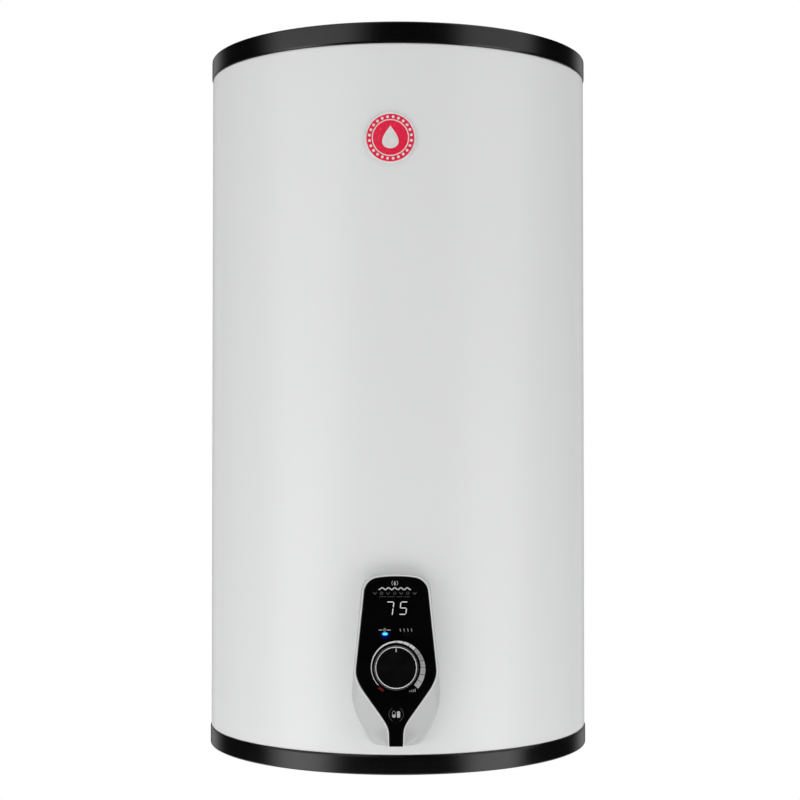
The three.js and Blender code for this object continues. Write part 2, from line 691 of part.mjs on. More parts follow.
function liveLead() {
  const end = CUTOUT_Y - CUTOUT_RADIUS - FIT - LEAD_RADIUS;
  return wire([
    [-25, PAD_Y, PAD_Z + LEAD_RADIUS],
    [-25, PAD_Y + 8, PAD_Z + LEAD_RADIUS],
    [-28, (end + PAD_Y) / 2, PAD_Z + 2],
    [CUTOUT_X, end - 8, CUTOUT_BOTTOM - 6],
    [CUTOUT_X, end, CUTOUT_BOTTOM + 6],
  ], LEAD_RADIUS, 18);
}

function neutralLead() {
  return wire([
    [25, PAD_Y, PAD_Z + LEAD_RADIUS],
    [25, PAD_Y + 8, PAD_Z + LEAD_RADIUS],
    [24, PAD_Y / 2, PAD_Z + 2],
    [ELEMENT_LEG + 1, -16, PAD_Z + 2],
    [ELEMENT_LEG, -2, PIN_BOTTOM - 8],
    [ELEMENT_LEG, 0, PIN_BOTTOM - 3],
    [ELEMENT_LEG, 0, PIN_BOTTOM],
  ], LEAD_RADIUS, 20);
}

function cutoutLink() {
  const start = CUTOUT_Y + CUTOUT_RADIUS + FIT + LEAD_RADIUS;
  return wire([
    [CUTOUT_X, start, CUTOUT_BOTTOM + 7],
    [CUTOUT_X + 2, start + 8, PIN_BOTTOM + 4],
    [-ELEMENT_LEG - 2, 2, PIN_BOTTOM - 8],
    [-ELEMENT_LEG, 0, PIN_BOTTOM - 3],
    [-ELEMENT_LEG, 0, PIN_BOTTOM],
  ], LEAD_RADIUS, 12);
}

piece("flange_collar", flangeCollar(), PLAIN_STEEL);
const gasketTop = FLANGE_FACE - FIT;
piece(
  "flange_gasket",
  ring(FLANGE_BORE + 1, FLANGE_BORE + 1 + GASKET_WALL, gasketTop - GASKET_HEIGHT, gasketTop, 32),
  RUBBER,
);
piece("flange_plate", flangePlate(), PLAIN_STEEL);
boltPlaces.forEach(([x, y], i) =>
  piece(`flange_bolt_${i + 1}`, flangeBolt(), PLAIN_STEEL, [x, y, 0]),
);
piece("heating_element", heatingElement(), COPPER);
piece("anode_rod", anodeRod(), MAGNESIUM, [0, ANODE_Y, 0]);
piece("anode_stud", anodeStud(), PLAIN_STEEL, [0, ANODE_Y, 0]);
piece("sensor_pocket", sensorPocket(), PLAIN_STEEL, [0, POCKET_Y, 0]);
piece("temperature_probe", rod(3, PROBE_BOTTOM, PROBE_TOP, 12), PLAIN_STEEL, [0, POCKET_Y, 0]);
piece("sensor_lead", sensorLead(), RUBBER);
piece("cutout_body", cutoutBody(), BLACK_PLASTIC, [CUTOUT_X, CUTOUT_Y, 0]);
piece("cutout_reset_button", resetButton(), RED_PLASTIC, [CUTOUT_X, CUTOUT_Y, 0]);
piece("live_lead", liveLead(), RED_PLASTIC);
piece("neutral_lead", neutralLead(), BLUE_PLASTIC);
piece("cutout_link", cutoutLink(), RED_PLASTIC);

// ---------------------------------------------------------------- power electronics
// The board, with its relay and transformer soldered on.
function powerBoard() {
  const half = BOARD_WIDTH / 2;
  const top = BOARD_BOTTOM + BOARD_THICKNESS;
  const sheet = block(-half, half, BOARD_FRONT, BOARD_BACK, BOARD_BOTTOM, top);
  const relay = block(-36, -8, BOARD_FRONT + 14, BOARD_FRONT + 44, top - 0.5, top + 15);
  const transformer = block(8, 36, BOARD_FRONT + 14, BOARD_FRONT + 40, top - 0.5, top + 18);
  return join(sheet, relay, transformer);
}

function terminalBlock() {
  const body = block(-22, 22, -10, 10, CAP_WALL + FIT, CAP_WALL + 14);
  const entries = [-14, 0, 14].map((x) =>
    crossRod(2.2, -12, 12, 8).translate([x, 0, CAP_WALL + 6]),
  );
  return cut(body, entries);
}

piece("power_board", powerBoard(), GREEN_BOARD);
piece("terminal_block", terminalBlock(), BEIGE_PLASTIC, [-108, -70, 0]);

// ---------------------------------------------------------------- wall brackets
// A band of the given thickness along a line of [x, y] points.
function band(points, thickness) {
  const at = points.map(([x, y]) => new THREE.Vector2(x, y));
  const normals = at.map((p, i) => {
    const before = at[Math.max(i - 1, 0)];
    const after = at[Math.min(i + 1, at.length - 1)];
    const along = after.clone().sub(before).normalize();
    return new THREE.Vector2(-along.y, along.x).multiplyScalar(thickness / 2);
  });
  const side = (sign) => at.map((p, i) => p.clone().addScaledVector(normals[i], sign));
  return [...side(1), ...side(-1).reverse()].map((p) => [p.x, p.y]);
}

// A hat section: a plate on the wall, two legs and two feet that lie against the shell.
function wallBracket() {
  const angle = THREE.MathUtils.degToRad(BRACKET_FOOT_ANGLE);
  const middle = FOOT_RADIUS + BRACKET_STEEL / 2;
  const foot = (s) => [
    middle * Math.sin(angle) + s * Math.cos(angle),
    middle * Math.cos(angle) - s * Math.sin(angle),
  ];
  const plateY = WALL_Y - BRACKET_STEEL / 2;
  const corners = [[0, plateY], [BRACKET_HALF_WIDTH, plateY], foot(-BRACKET_FOOT / 2)];
  const line = new THREE.Path();
  const bend = 7;
  const towards = (from, to, distance) => {
    const step = new THREE.Vector2(to[0] - from[0], to[1] - from[1]).setLength(distance);
    return [from[0] + step.x, from[1] + step.y];
  };
  line.moveTo(...corners[0]);
  const turns = [...corners, foot(BRACKET_FOOT / 2)];
  for (const i of [1, 2]) {
    line.lineTo(...towards(turns[i], turns[i - 1], bend));
    line.quadraticCurveTo(...turns[i], ...towards(turns[i], turns[i + 1], bend));
  }
  line.lineTo(...turns[3]);
  const right = line.getPoints(4).slice(1).map((p) => [p.x, p.y]);
  const left = right.map(([x, y]) => [-x, y]).reverse();
  const half = BRACKET_HEIGHT / 2;
  const strap = upright(band([...left, ...right], BRACKET_STEEL), -half, half);
  return cut(strap, keyholes(), bracketStudHoles());
}

// Each keyhole is entered at its round part, and hangs by the top of its slot.
function keyholes() {
  const half = KEYHOLE_RISE / 2;
  const mouth = Math.asin(KEYHOLE_SLOT / KEYHOLE_HEAD);
  const head = arc(-half, KEYHOLE_HEAD, Math.PI / 2 + mouth, 2.5 * Math.PI - mouth, 14);
  const outline = [...head, ...arc(half, KEYHOLE_SLOT, 0, Math.PI, 8)];
  const hole = frontPlate(outline, WALL_Y - 2 * BRACKET_STEEL, WALL_Y + 1);
  return [-KEYHOLE_X, KEYHOLE_X].map((x) => hole.translate([x, 0, 0]));
}

function bracketStudHoles() {
  const [inner, outer] = [SHELL_RADIUS - 2, FOOT_RADIUS + BRACKET_STEEL + 1];
  return STUD_ANGLES.map((angle) =>
    crossRod(TANK_STUD_RADIUS + FIT, inner, outer, 12).rotate([0, 0, -angle]),
  );
}

function bracketNut() {
  const hole = rod(TANK_STUD_RADIUS + FIT, -1, NUT_HEIGHT + 1, 12);
  return cut(rod(NUT_RADIUS, 0, NUT_HEIGHT, 6), hole);
}

BRACKET_LEVELS.forEach((z, level) => {
  const name = ["upper", "lower"][level];
  piece(`${name}_wall_bracket`, wallBracket(), PLAIN_STEEL, [0, 0, z]);
  STUD_ANGLES.forEach((angle, side) => {
    const nutAxis = new THREE.Group();
    nutAxis.rotation.order = "ZXY";
    nutAxis.rotation.z = THREE.MathUtils.degToRad(-angle);
    nutAxis.rotation.x = -Math.PI / 2; // the nut's own +Z points away from the shell
    nutAxis.position.z = z;
    assembly.add(nutAxis);
    const seat = FOOT_RADIUS + BRACKET_STEEL + FIT;
    const nut = `${name}_bracket_nut_${side + 1}`;
    piece(nut, bracketNut(), PLAIN_STEEL, [0, 0, seat], nutAxis);
  });
});

// ---------------------------------------------------------------- control panel
// Half outlines run from top centre to bottom centre, as [half width, height] points. The two
// are cut into the same eight stretches, so that a surface can be drawn from one to the other.
const STRETCH_STEPS = [2, 4, 2, 4, 2, 4, 1, 1];
const CURVES = { 2: THREE.LineCurve, 3: THREE.QuadraticBezierCurve, 4: THREE.CubicBezierCurve };

function curvePoints(controls, steps) {
  const at = controls.map(([x, z]) => new THREE.Vector2(x, z));
  return new CURVES[at.length](...at).getPoints(steps).map((p) => [p.x, p.y]);
}

function halfOutline(stretches) {
  return stretches.flatMap((controls, i) =>
    curvePoints(controls, STRETCH_STEPS[i]).slice(i ? 1 : 0),
  );
}

const base = PANEL_BOTTOM;
const top = PANEL_BOTTOM + PANEL_HEIGHT;

function fasciaHalf() {
  const shoulder = [20.9, top - 5];
  const corner = [FASCIA_TOP_HALF, top - 18];
  const widest = [FASCIA_HALF - 0.2, base + 80.7];
  const waist = [FASCIA_HALF - 8.9, base + 56];
  const neck = [STEM_HALF + 9, base + 31.4];
  const stem = [STEM_HALF + 0.3, base + 9.8];
  return halfOutline([
    [[0, top - 3.4], [12, top - 3.4], shoulder],
    [shoulder, [26.5, top - 6], [32.2, top - 10.2], corner],
    [corner, widest],
    [widest, [widest[0] + 0.7, widest[1] - 8], [waist[0] + 6.5, waist[1] + 9.3], waist],
    [waist, neck],
    [neck, [neck[0] - 6, neck[1] - 8.5], [stem[0], stem[1] + 9], stem],
    [stem, [STEM_HALF, base]],
    [[STEM_HALF, base], [0, base]],
  ]);
}

function wingHalf() {
  const shoulder = [23, top - 1.6];
  const corner = [FASCIA_TOP_HALF + 3.8, top - 16];
  const widest = [WING_HALF - 1.9, base + 78.7];
  const hip = [WING_HALF - 0.6, base + 47.3];
  const heel = [WING_HALF - 6.4, base + 28.5];
  const toe = [WING_HALF - 17, base + 8];
  return halfOutline([
    [[0, top], [13, top], shoulder],
    [shoulder, [30.5, top - 2.8], [36.4, top - 8], corner],
    [corner, widest],
    [widest, [widest[0] + 1.2, widest[1] - 12], [hip[0] + 0.9, hip[1] + 9], hip],
    [hip, [hip[0] - 0.8, hip[1] - 7], heel],
    [heel, toe],
    [toe, [toe[0] - 4, base], [20, base]],
    [[20, base], [0, base]],
  ]);
}

function bothSides(half) {
  return [...half, ...half.slice(1, -1).map(([x, z]) => [-x, z]).reverse()];
}

// An outline moved outwards by a distance, or inwards where it is negative.
function grown(outline, distance) {
  const count = outline.length;
  return outline.map(([x, z], i) => {
    const [ax, az] = outline[(i + count - 1) % count];
    const [bx, bz] = outline[(i + 1) % count];
    const before = new THREE.Vector2(x - ax, z - az).normalize();
    const after = new THREE.Vector2(bx - x, bz - z).normalize();
    const normal = new THREE.Vector2(-before.y - after.y, before.x + after.x).normalize();
    const square = Math.max(normal.dot(new THREE.Vector2(-before.y, before.x)), 0.5);
    return [x + (normal.x * distance) / square, z + (normal.y * distance) / square];
  });
}

// A closed solid through outlines of equal length, each at its own depth along Y.
function loft(sections) {
  const count = sections[0].outline.length;
  const at = sections.flatMap(({ outline, y }) => outline.map(([x, z]) => [x, y, z]));
  const flat = sections.map(({ outline }) => outline.map(([x, z]) => new THREE.Vector2(x, z)));
  const ends = THREE.ShapeUtils.triangulateShape(flat[0], []);
  const backEnds = THREE.ShapeUtils.triangulateShape(flat.at(-1), []);
  const last = (sections.length - 1) * count;
  const faces = [...ends, ...backEnds.map(([a, b, c]) => [last + a, last + c, last + b])];
  for (let s = 0; s + 1 < sections.length; s++) {
    for (let i = 0; i < count; i++) {
      const [a, b] = [s * count + i, s * count + ((i + 1) % count)];
      faces.push([a, b, a + count], [b, b + count, a + count]);
    }
  }
  const geometry = new THREE.BufferGeometry();
  geometry.setAttribute("position", new THREE.Float32BufferAttribute(at.flat(), 3));
  geometry.setIndex(faces.flat());
  return solid(geometry);
}

function mixed(from, to, share) {
  return from.map(([x, z], i) => [x + (to[i][0] - x) * share, z + (to[i][1] - z) * share]);
}

const fasciaOutline = bothSides(fasciaHalf());
const wingOutline = bothSides(wingHalf());
const bezelOutline = grown(fasciaOutline, PANEL_BEZEL).map(([x, z]) => [x, Math.max(z, base)]);

// The housing's outside, or with an inset its inside: a crowned surface from the bezel at the
// front to the wider wing outline at the shell.
function housingSkin(inset, front) {
  const back = -(SHELL_RADIUS - 20);
  const depth = PANEL_DEPTH - inset;
  const section = (share, y) => ({
    outline: grown(mixed(bezelOutline, wingOutline, share), -inset),
    y,
  });
  return loft([
    section(0, front),
    section(0.4, front + depth * 0.3),
    section(0.8, front + depth * 0.65),
    section(1, front + depth * 0.95),
    section(1, back),
  ]);
}

function lampOpening(x, clearance, y0, y1) {
  const lens = circle(LAMP_HALF_WIDTH + clearance, LAMP_HALF_HEIGHT + clearance, 16);
  return frontPlate(lens.map(([u, v]) => [x + u, LAMP_Z + v]), y0, y1);
}

function frontOpenings() {
  const [y0, y1] = [FASCIA_Y - 3, PANEL_INSIDE + 1];
  return [
    crossRod(SPINDLE_RADIUS + 1, y0, y1, 16).translate([0, 0, KNOB_Z]),
    crossRod(BUTTON_RADIUS + FIT, y0, y1, 24).translate([0, 0, BUTTON_Z]),
    lampOpening(POWER_LAMP_X, FIT, y0, y1),
    lampOpening(HEATING_LAMP_X, FIT, y0, y1),
  ];
}

function panelHousing() {
  const shellSpace = rod((SHELL_RADIUS + FIT) / FACET_SHRINK, 0, BODY_HEIGHT, CASING_SEGMENTS)
    .translate([-PANEL_X, -FASCIA_Y, -KNOB_Z])
    .rotate([PANEL_TILT, 0, 0])
    .translate([0, FASCIA_Y, KNOB_Z]);
  const seat = grown(fasciaOutline, FIT).map(([x, z]) => [x, z < base ? base - 5 : z]);
  return cut(
    housingSkin(0, FASCIA_Y - FIT),
    housingSkin(PANEL_WALL, PANEL_INSIDE),
    frontPlate(seat, FASCIA_Y - 5, PANEL_FLOOR),
    frontOpenings(),
    shellSpace,
  );
}

function panelFascia() {
  return cut(frontPlate(fasciaOutline, FASCIA_Y, FASCIA_BACK), frontOpenings());
}

function panelLamp(x) {
  return lampOpening(x, 0, FASCIA_Y, PANEL_BOARD_Y - FIT);
}

function panelBoard() {
  const [wide, narrow] = [DISPLAY_HALF_WIDTH + 9, BUTTON_RADIUS + 2];
  const levels = [base + 22, base + 52, top - 20];
  return frontPlate([
    [-narrow, levels[0]],
    [narrow, levels[0]],
    [narrow, levels[1]],
    [wide, levels[1]],
    [wide, levels[2]],
    [-wide, levels[2]],
    [-wide, levels[1]],
    [-narrow, levels[1]],
  ], PANEL_BOARD_Y, PANEL_BOARD_Y + BOARD_THICKNESS);
}

function displayModule() {
  return block(
    -DISPLAY_HALF_WIDTH, DISPLAY_HALF_WIDTH,
    PANEL_INSIDE + FIT, PANEL_BOARD_Y - FIT,
    DISPLAY_Z - DISPLAY_HALF_HEIGHT, DISPLAY_Z + DISPLAY_HALF_HEIGHT,
  );
}

function rotaryEncoder() {
  const can = block(-6, 6, ENCODER_FRONT, PANEL_BOARD_Y - FIT, KNOB_Z - 6.5, KNOB_Z + 6.5);
  const bush = crossRod(SPINDLE_RADIUS + FIT, ENCODER_FRONT - 1, SPINDLE_END + FIT, 16);
  return cut(can, bush.translate([0, 0, KNOB_Z]));
}

// A disc in the fascia with a wider foot behind the housing wall and a stem to the switch.
function modeButton() {
  const out = -(FASCIA_Y - FIT);
  const foot = -(PANEL_INSIDE + FIT);
  const tip = -(SWITCH_FRONT - BUTTON_TRAVEL - FIT);
  return lathe([
    [0, tip],
    [2, tip],
    [2, foot - 1],
    [BUTTON_RADIUS + 1.2, foot - 1],
    [BUTTON_RADIUS + 1.2, foot],
    [BUTTON_RADIUS, foot],
    [BUTTON_RADIUS, out],
    [0, out],
  ], 24).rotate([90, 0, 0]).translate([0, 0, BUTTON_Z]);
}

function modeSwitch() {
  return block(-3, 3, SWITCH_FRONT, PANEL_BOARD_Y - FIT, BUTTON_Z - 3, BUTTON_Z + 3);
}

// The knob's pieces stand along its own +Z, from the fascia outwards.
function knobCap() {
  const ledge = KNOB_PROUD - 3;
  const socket = SPINDLE_RADIUS + FIT;
  return lathe([
    [socket, 0.8],
    [KNOB_RADIUS - 1, 0.8],
    [KNOB_RADIUS - 1, ledge - FIT],
    [RING_INNER - FIT, ledge - FIT],
    [RING_INNER - FIT, KNOB_PROUD],
    [0, KNOB_PROUD - 0.4],
    [0, ledge],
    [socket, ledge],
  ], 32);
}

function knobRing() {
  const ledge = KNOB_PROUD - 3;
  return lathe([
    [RING_INNER, ledge],
    [KNOB_RADIUS, ledge],
    [KNOB_RADIUS, KNOB_PROUD - 0.6],
    [KNOB_RADIUS - 0.5, KNOB_PROUD + 0.2],
    [RING_INNER, KNOB_PROUD + 0.2],
  ], 32);
}

function knobBezel() {
  const inner = KNOB_RADIUS - 1 + FIT;
  return lathe([
    [inner, FIT],
    [KNOB_RADIUS + BEZEL_RING, FIT],
    [KNOB_RADIUS + BEZEL_RING - 0.4, 1.8],
    [inner, 1.8],
  ], 32);
}

function knobSpindle() {
  const inner = FASCIA_Y - SPINDLE_END; // below the fascia's front face
  return rod(SPINDLE_RADIUS, inner, KNOB_PROUD - 3 - FIT, 16);
}

function panelHarness() {
  const y = -SHELL_RADIUS + 8;
  const slope = THREE.MathUtils.degToRad(PANEL_TILT);
  const boardBack = PANEL_BOARD_Y + BOARD_THICKNESS - FASCIA_Y;
  const lean = (HARNESS_HEIGHT - KNOB_Z) * Math.sin(slope);
  const start = FASCIA_Y + (boardBack + lean) / Math.cos(slope) + 2 * FIT;
  const r = HARNESS_RADIUS;
  return wire([
    [PANEL_X, start, HARNESS_HEIGHT],
    [PANEL_X, -SHELL_RADIUS - 3, HARNESS_HEIGHT],
    [PANEL_X, -SHELL_RADIUS + 3, HARNESS_HEIGHT - 2],
    [PANEL_X, y, HARNESS_HEIGHT - 12],
    [PANEL_X, y, INSULATION_FLOOR],
    [PANEL_X, y + 3, INSULATION_FLOOR - 8],
    [PANEL_X, BOARD_FRONT + 3, PAD_Z + r + 3],
    [PANEL_X, BOARD_FRONT + 10, PAD_Z + r],
  ], r, 24);
}

piece("panel_housing", panelHousing(), WHITE_PLASTIC, [0, 0, 0], panel);
piece("panel_fascia", panelFascia(), GLOSS_BLACK, [0, 0, 0], panel);
piece("power_lamp", panelLamp(POWER_LAMP_X), BLUE_LENS, [0, 0, 0], panel);
piece("heating_lamp", panelLamp(HEATING_LAMP_X), DARK_LENS, [0, 0, 0], panel);
piece("display_board", panelBoard(), GREEN_BOARD, [0, 0, 0], panel);
piece("display_module", displayModule(), GLOSS_BLACK, [0, 0, 0], panel);
piece("rotary_encoder", rotaryEncoder(), PLAIN_STEEL, [0, 0, 0], panel);
piece("mode_button", modeButton(), GLOSS_BLACK, [0, 0, 0], panel);
piece("mode_switch", modeSwitch(), BLACK_PLASTIC, [0, 0, 0], panel);
piece("knob_cap", knobCap(), GLOSS_BLACK, [0, 0, 0], knob);
piece("knob_ring", knobRing(), BRIGHT_METAL, [0, 0, 0], knob);
piece("knob_bezel", knobBezel(), BRIGHT_METAL, [0, 0, 0], knob);
piece("knob_spindle", knobSpindle(), PLAIN_STEEL, [0, 0, 0], knob);
piece("panel_harness", panelHarness(), RUBBER);

// ---------------------------------------------------------------- round badge
// A disc bent to the shell: the part of a cylindrical layer inside a round outline.
function curvedDisc(radius, inner, outer) {
  const layer = ring(inner, outer, -radius - 1, radius + 1, CASING_SEGMENTS * 2);
  return layer.intersect(crossRod(radius, -outer - 5, -inner + 30, 40));
}

const badgeSeat = SHELL_RADIUS + FIT;
const recess = badgeSeat + BADGE_THICKNESS / 2;
const enamelRadius = BADGE_RADIUS - BADGE_RIM;
piece(
  "badge_plate",
  cut(
    curvedDisc(BADGE_RADIUS, badgeSeat, badgeSeat + BADGE_THICKNESS),
    curvedDisc(enamelRadius, recess, badgeSeat + BADGE_THICKNESS + 3),
  ),
  BRIGHT_METAL, [0, 0, 0], badge,
);
piece(
  "badge_enamel",
  curvedDisc(enamelRadius - FIT, recess + FIT, badgeSeat + BADGE_THICKNESS + 0.2),
  RED_ENAMEL, [0, 0, 0], badge,
);

// The origin is the middle of the upper bracket's back face, on the wall.
assembly.position.set(0, -WALL_Y, -UPPER_BRACKET_Z);
const group = new THREE.Group();
group.add(assembly);
export default group;
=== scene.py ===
"""Looks of the wall-hung water heater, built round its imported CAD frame.

Lengths inside the building functions are millimetres in the heater's own frame: the casing's
axis is x = 0, y = 0 and the underside of the bottom cap is z = 0. row() turns them into metres
in the shared frame.
"""

import math

import bmesh
import bpy
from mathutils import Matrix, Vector
from mathutils.geometry import tessellate_polygon


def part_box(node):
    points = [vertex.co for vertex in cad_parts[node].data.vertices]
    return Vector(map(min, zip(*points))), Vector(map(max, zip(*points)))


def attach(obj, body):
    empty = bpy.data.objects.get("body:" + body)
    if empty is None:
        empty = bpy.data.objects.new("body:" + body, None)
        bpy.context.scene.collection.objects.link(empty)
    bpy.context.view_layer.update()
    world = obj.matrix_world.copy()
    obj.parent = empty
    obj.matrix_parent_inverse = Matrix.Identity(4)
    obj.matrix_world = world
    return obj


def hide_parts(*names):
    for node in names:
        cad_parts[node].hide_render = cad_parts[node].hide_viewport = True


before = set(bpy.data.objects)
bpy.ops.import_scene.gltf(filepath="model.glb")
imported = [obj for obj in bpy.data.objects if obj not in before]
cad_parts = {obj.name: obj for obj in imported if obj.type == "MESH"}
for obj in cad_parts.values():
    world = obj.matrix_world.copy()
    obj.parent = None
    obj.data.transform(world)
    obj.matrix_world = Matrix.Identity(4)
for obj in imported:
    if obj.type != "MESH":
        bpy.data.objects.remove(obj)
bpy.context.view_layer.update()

MM = 0.001
_low, _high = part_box("bottom_cap")
ZERO = Vector(((_low.x + _high.x) / 2, (_low.y + _high.y) / 2, _low.z))


def row(x, y, z):
    return ZERO + Vector((x, y, z)) * MM


def leaned(x, y, z):
    """A point of the upright panel, where it stands on the heater."""
    forward, up = y - FASCIA_Y, z - KNOB_Z
    return (
        x,
        FASCIA_Y + forward * math.cos(TILT) + up * math.sin(TILT),
        KNOB_Z - forward * math.sin(TILT) + up * math.cos(TILT),
    )


def span(node):
    """The lowest and highest corners of a CAD node, in millimetres in the heater's frame."""
    low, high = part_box(node)
    return (low - ZERO) / MM, (high - ZERO) / MM


def upright(node):
    """A round upright node: its axis as x and y, its radius, its lowest and its highest z."""
    low, high = span(node)
    return (low.x + high.x) / 2, (low.y + high.y) / 2, (high.x - low.x) / 2, low.z, high.z


# ---------------------------------------------------------------- sizes read from the frame
CAP_R = span("bottom_cap")[1].x
SHELL_R = span("outer_shell")[1].x
SHELL_LOW, SHELL_HIGH = span("outer_shell")[0].z, span("outer_shell")[1].z
TOP_LOW, CROWN = span("top_cap")[0].z, span("top_cap")[1].z
PANEL_X = (span("panel_fascia")[0].x + span("panel_fascia")[1].x) / 2

# The panel is built upright in its own frame, then leaned back about the knob's centre.
TILT = math.radians(8)
PANEL_DEPTH = 27  # from the sheet to the front of the window, level with the knob
FASCIA_Y = -SHELL_R - PANEL_DEPTH
FASCIA_BACK = FASCIA_Y + 1.8
BASE, TOP = 37.5, 218.9
KNOB_Z, KNOB_R, KNOB_PROUD = 118.9, 22.3, 12.2
BUTTON_Z, BUTTON_R = 69.9, 8.2
LAMP_Z, LAMP_SIZE = 154.5, (3.2, 1.7)
POWER_X, HEATING_X = -11.8, 10.4
BADGE_LOW, BADGE_HIGH = span("badge_plate")
BADGE_Z = (BADGE_LOW.z + BADGE_HIGH.z) / 2
BADGE_R = (BADGE_HIGH.z - BADGE_LOW.z) / 2
BADGE_X = (BADGE_LOW.x + BADGE_HIGH.x) / 2
CAMERA_AT = (-4.26, -2033, 364.5)
CAMERA_TURN = (91.239, 0, -0.188)  # degrees
CAMERA_LENS, CAMERA_SENSOR = 75.35, 36
FLOOR_Z, FLOOR_R = -1.95, 3.5  # metres in the shared frame


# ---------------------------------------------------------------- camera
def make_camera():
    data = bpy.data.cameras.new("camera")
    data.sensor_width = CAMERA_SENSOR
    data.lens = CAMERA_LENS
    data.clip_start, data.clip_end = 0.05, 100
    camera = bpy.data.objects.new("camera", data)
    camera.location = row(*CAMERA_AT)
    camera.rotation_euler = [math.radians(turn) for turn in CAMERA_TURN]
    bpy.context.scene.collection.objects.link(camera)
    bpy.context.scene.camera = camera


# ---------------------------------------------------------------- node trees
class Tree:
    """A node tree with short calls: a socket given as an input is linked, a value is set."""

    def __init__(self, tree, inputs=None):
        self.tree = tree
        self.inputs = inputs

    def connect(self, **sockets):
        """Links sockets to the shader's inputs."""
        for key, socket in sockets.items():
            self.tree.links.new(socket, self.inputs[key.replace("_", " ")])

    def add(self, kind, inputs=None, **settings):
        node = self.tree.nodes.new("ShaderNode" + kind)
        for key, value in settings.items():
            setattr(node, key, value)
        for key, value in (inputs or {}).items():
            if isinstance(value, bpy.types.NodeSocket):
                self.tree.links.new(value, node.inputs[key])
            else:
                node.inputs[key].default_value = value
        return node

    def math(self, operation, a, b=0.0):
        return self.add("Math", {0: a, 1: b}, operation=operation).outputs[0]

    def ramp(self, value, from_low, from_high, to_low=0.0, to_high=1.0, smooth=True):
        inputs = {
            "Value": value,
            "From Min": from_low,
            "From Max": from_high,
            "To Min": to_low,
            "To Max": to_high,
        }
        kind = "SMOOTHSTEP" if smooth else "LINEAR"
        return self.add("MapRange", inputs, interpolation_type=kind).outputs[0]

    def mix(self, share, a, b):
        node = self.add("Mix", data_type="RGBA")
        for socket, value in ((0, share), (6, a), (7, b)):
            if isinstance(value, bpy.types.NodeSocket):
                self.tree.links.new(value, node.inputs[socket])
            else:
                node.inputs[socket].default_value = value
        return node.outputs[2]

    def place(self, scale=(1, 1, 1)):
        where = self.add("TexCoord").outputs["Object"]
        return self.add("Mapping", {"Vector": where, "Scale": scale}).outputs[0]

    def noise(self, scale, detail=3.0, stretch=(1, 1, 1), rough=0.5):
        inputs = {"Vector": self.place(stretch), "Scale": scale, "Detail": detail, "Roughness": rough}
        return self.add("TexNoise", inputs).outputs[0]

    def cells(self, scale, stretch=(1, 1, 1)):
        inputs = {"Vector": self.place(stretch), "Scale": scale}
        return self.add("TexVoronoi", inputs)

    def bump(self, height, distance, strength=1.0, normal=None):
        inputs = {"Height": height, "Distance": distance, "Strength": strength}
        if normal is not None:
            inputs["Normal"] = normal
        return self.add("Bump", inputs).outputs[0]


def rgba(colour):
    """A colour from three channels, or from one grey level."""
    return (*colour, 1) if isinstance(colour, tuple) else (colour, colour, colour, 1)


def shader(name, **numbers):
    """A material whose uniform numbers sit on the Principled shader itself."""
    material = bpy.data.materials.new(name)
    material.use_nodes = True
    principled = material.node_tree.nodes["Principled BSDF"]
    for key, value in numbers.items():
        principled.inputs[key.replace("_", " ")].default_value = value
    return material, Tree(material.node_tree, principled.inputs)


def surface(name, colour, other, rough, grain, grain_depth, patch=6.0, stretch=(1, 1, 1), **numbers):
    """Colour drifting between two tones, uneven roughness and a fine grain in relief."""
    material, tree = shader(name, **numbers)
    drift = tree.ramp(tree.noise(patch, 4, stretch), 0.3, 0.7)
    grain_noise = tree.noise(grain, 2, stretch)
    smear = tree.noise(patch * 5, 3, stretch, 0.6)
    tree.connect(
        Base_Color=tree.mix(drift, rgba(colour), rgba(other)),
        Roughness=tree.ramp(smear, 0.25, 0.75, *rough),
        Normal=tree.bump(grain_noise, grain_depth),
    )
    return material


def painted_steel():
    material, tree = shader("painted_steel", IOR=1.5, Specular_IOR_Level=0.40)
    drift = tree.noise(1.2, 0)
    peel = tree.noise(420.0, 1)
    tree.connect(
        Base_Color=tree.mix(drift, rgba((0.803, 0.806, 0.811)), rgba((0.793, 0.796, 0.801))),
        Roughness=tree.ramp(tree.noise(300.0, 1), 0.0, 1.0, 0.24, 0.28, False),
        Normal=tree.bump(peel, 0.000005, 0.3),
    )
    return material


def cap_plastic():
    material, tree = shader("cap_plastic", IOR=1.5, Coat_Weight=0.0)
    drift = tree.ramp(tree.noise(8.0, 4), 0.35, 0.65)
    grain = tree.bump(tree.noise(900.0, 1), 0.000012, 0.7)
    rub = tree.ramp(tree.noise(22.0, 3, (1, 1, 6)), 0.2, 0.8, 0.18, 0.22)
    tree.connect(
        Base_Color=tree.mix(drift, rgba(0.0006), rgba(0.0012)),
        Roughness=rub,
        Normal=grain,
    )
    return material


def spun_metal():
    """Black anodised metal turned on a lathe: fine rings about the knob's axis."""
    material, tree = shader("spun_metal", Metallic=1.0, Anisotropic=0.9)
    where = tree.add("TexCoord").outputs["Object"]
    offset = tree.add("VectorMath", {0: where, 1: KNOB_AT}, operation="SUBTRACT")
    upright = tree.add("VectorRotate", {"Vector": offset.outputs[0], "Angle": TILT}, rotation_type="X_AXIS")
    spread = tree.add("VectorMath", {0: upright.outputs[0], 1: (1, 0, 1)}, operation="MULTIPLY")
    radius = tree.add("VectorMath", {0: spread.outputs[0]}, operation="LENGTH").outputs[1]
    along = {"W": tree.math("MULTIPLY", radius, 9000.0), "Detail": 2.0}
    rings = tree.add("TexNoise", along, noise_dimensions="1D").outputs[0]
    tree.connect(
        Base_Color=tree.mix(rings, rgba(0.004), rgba(0.013)),
        Roughness=tree.ramp(rings, 0.2, 0.8, 0.40, 0.46),
        Normal=tree.bump(rings, 0.000005, 0.4),
        Tangent=spread.outputs[0],
    )
    return material


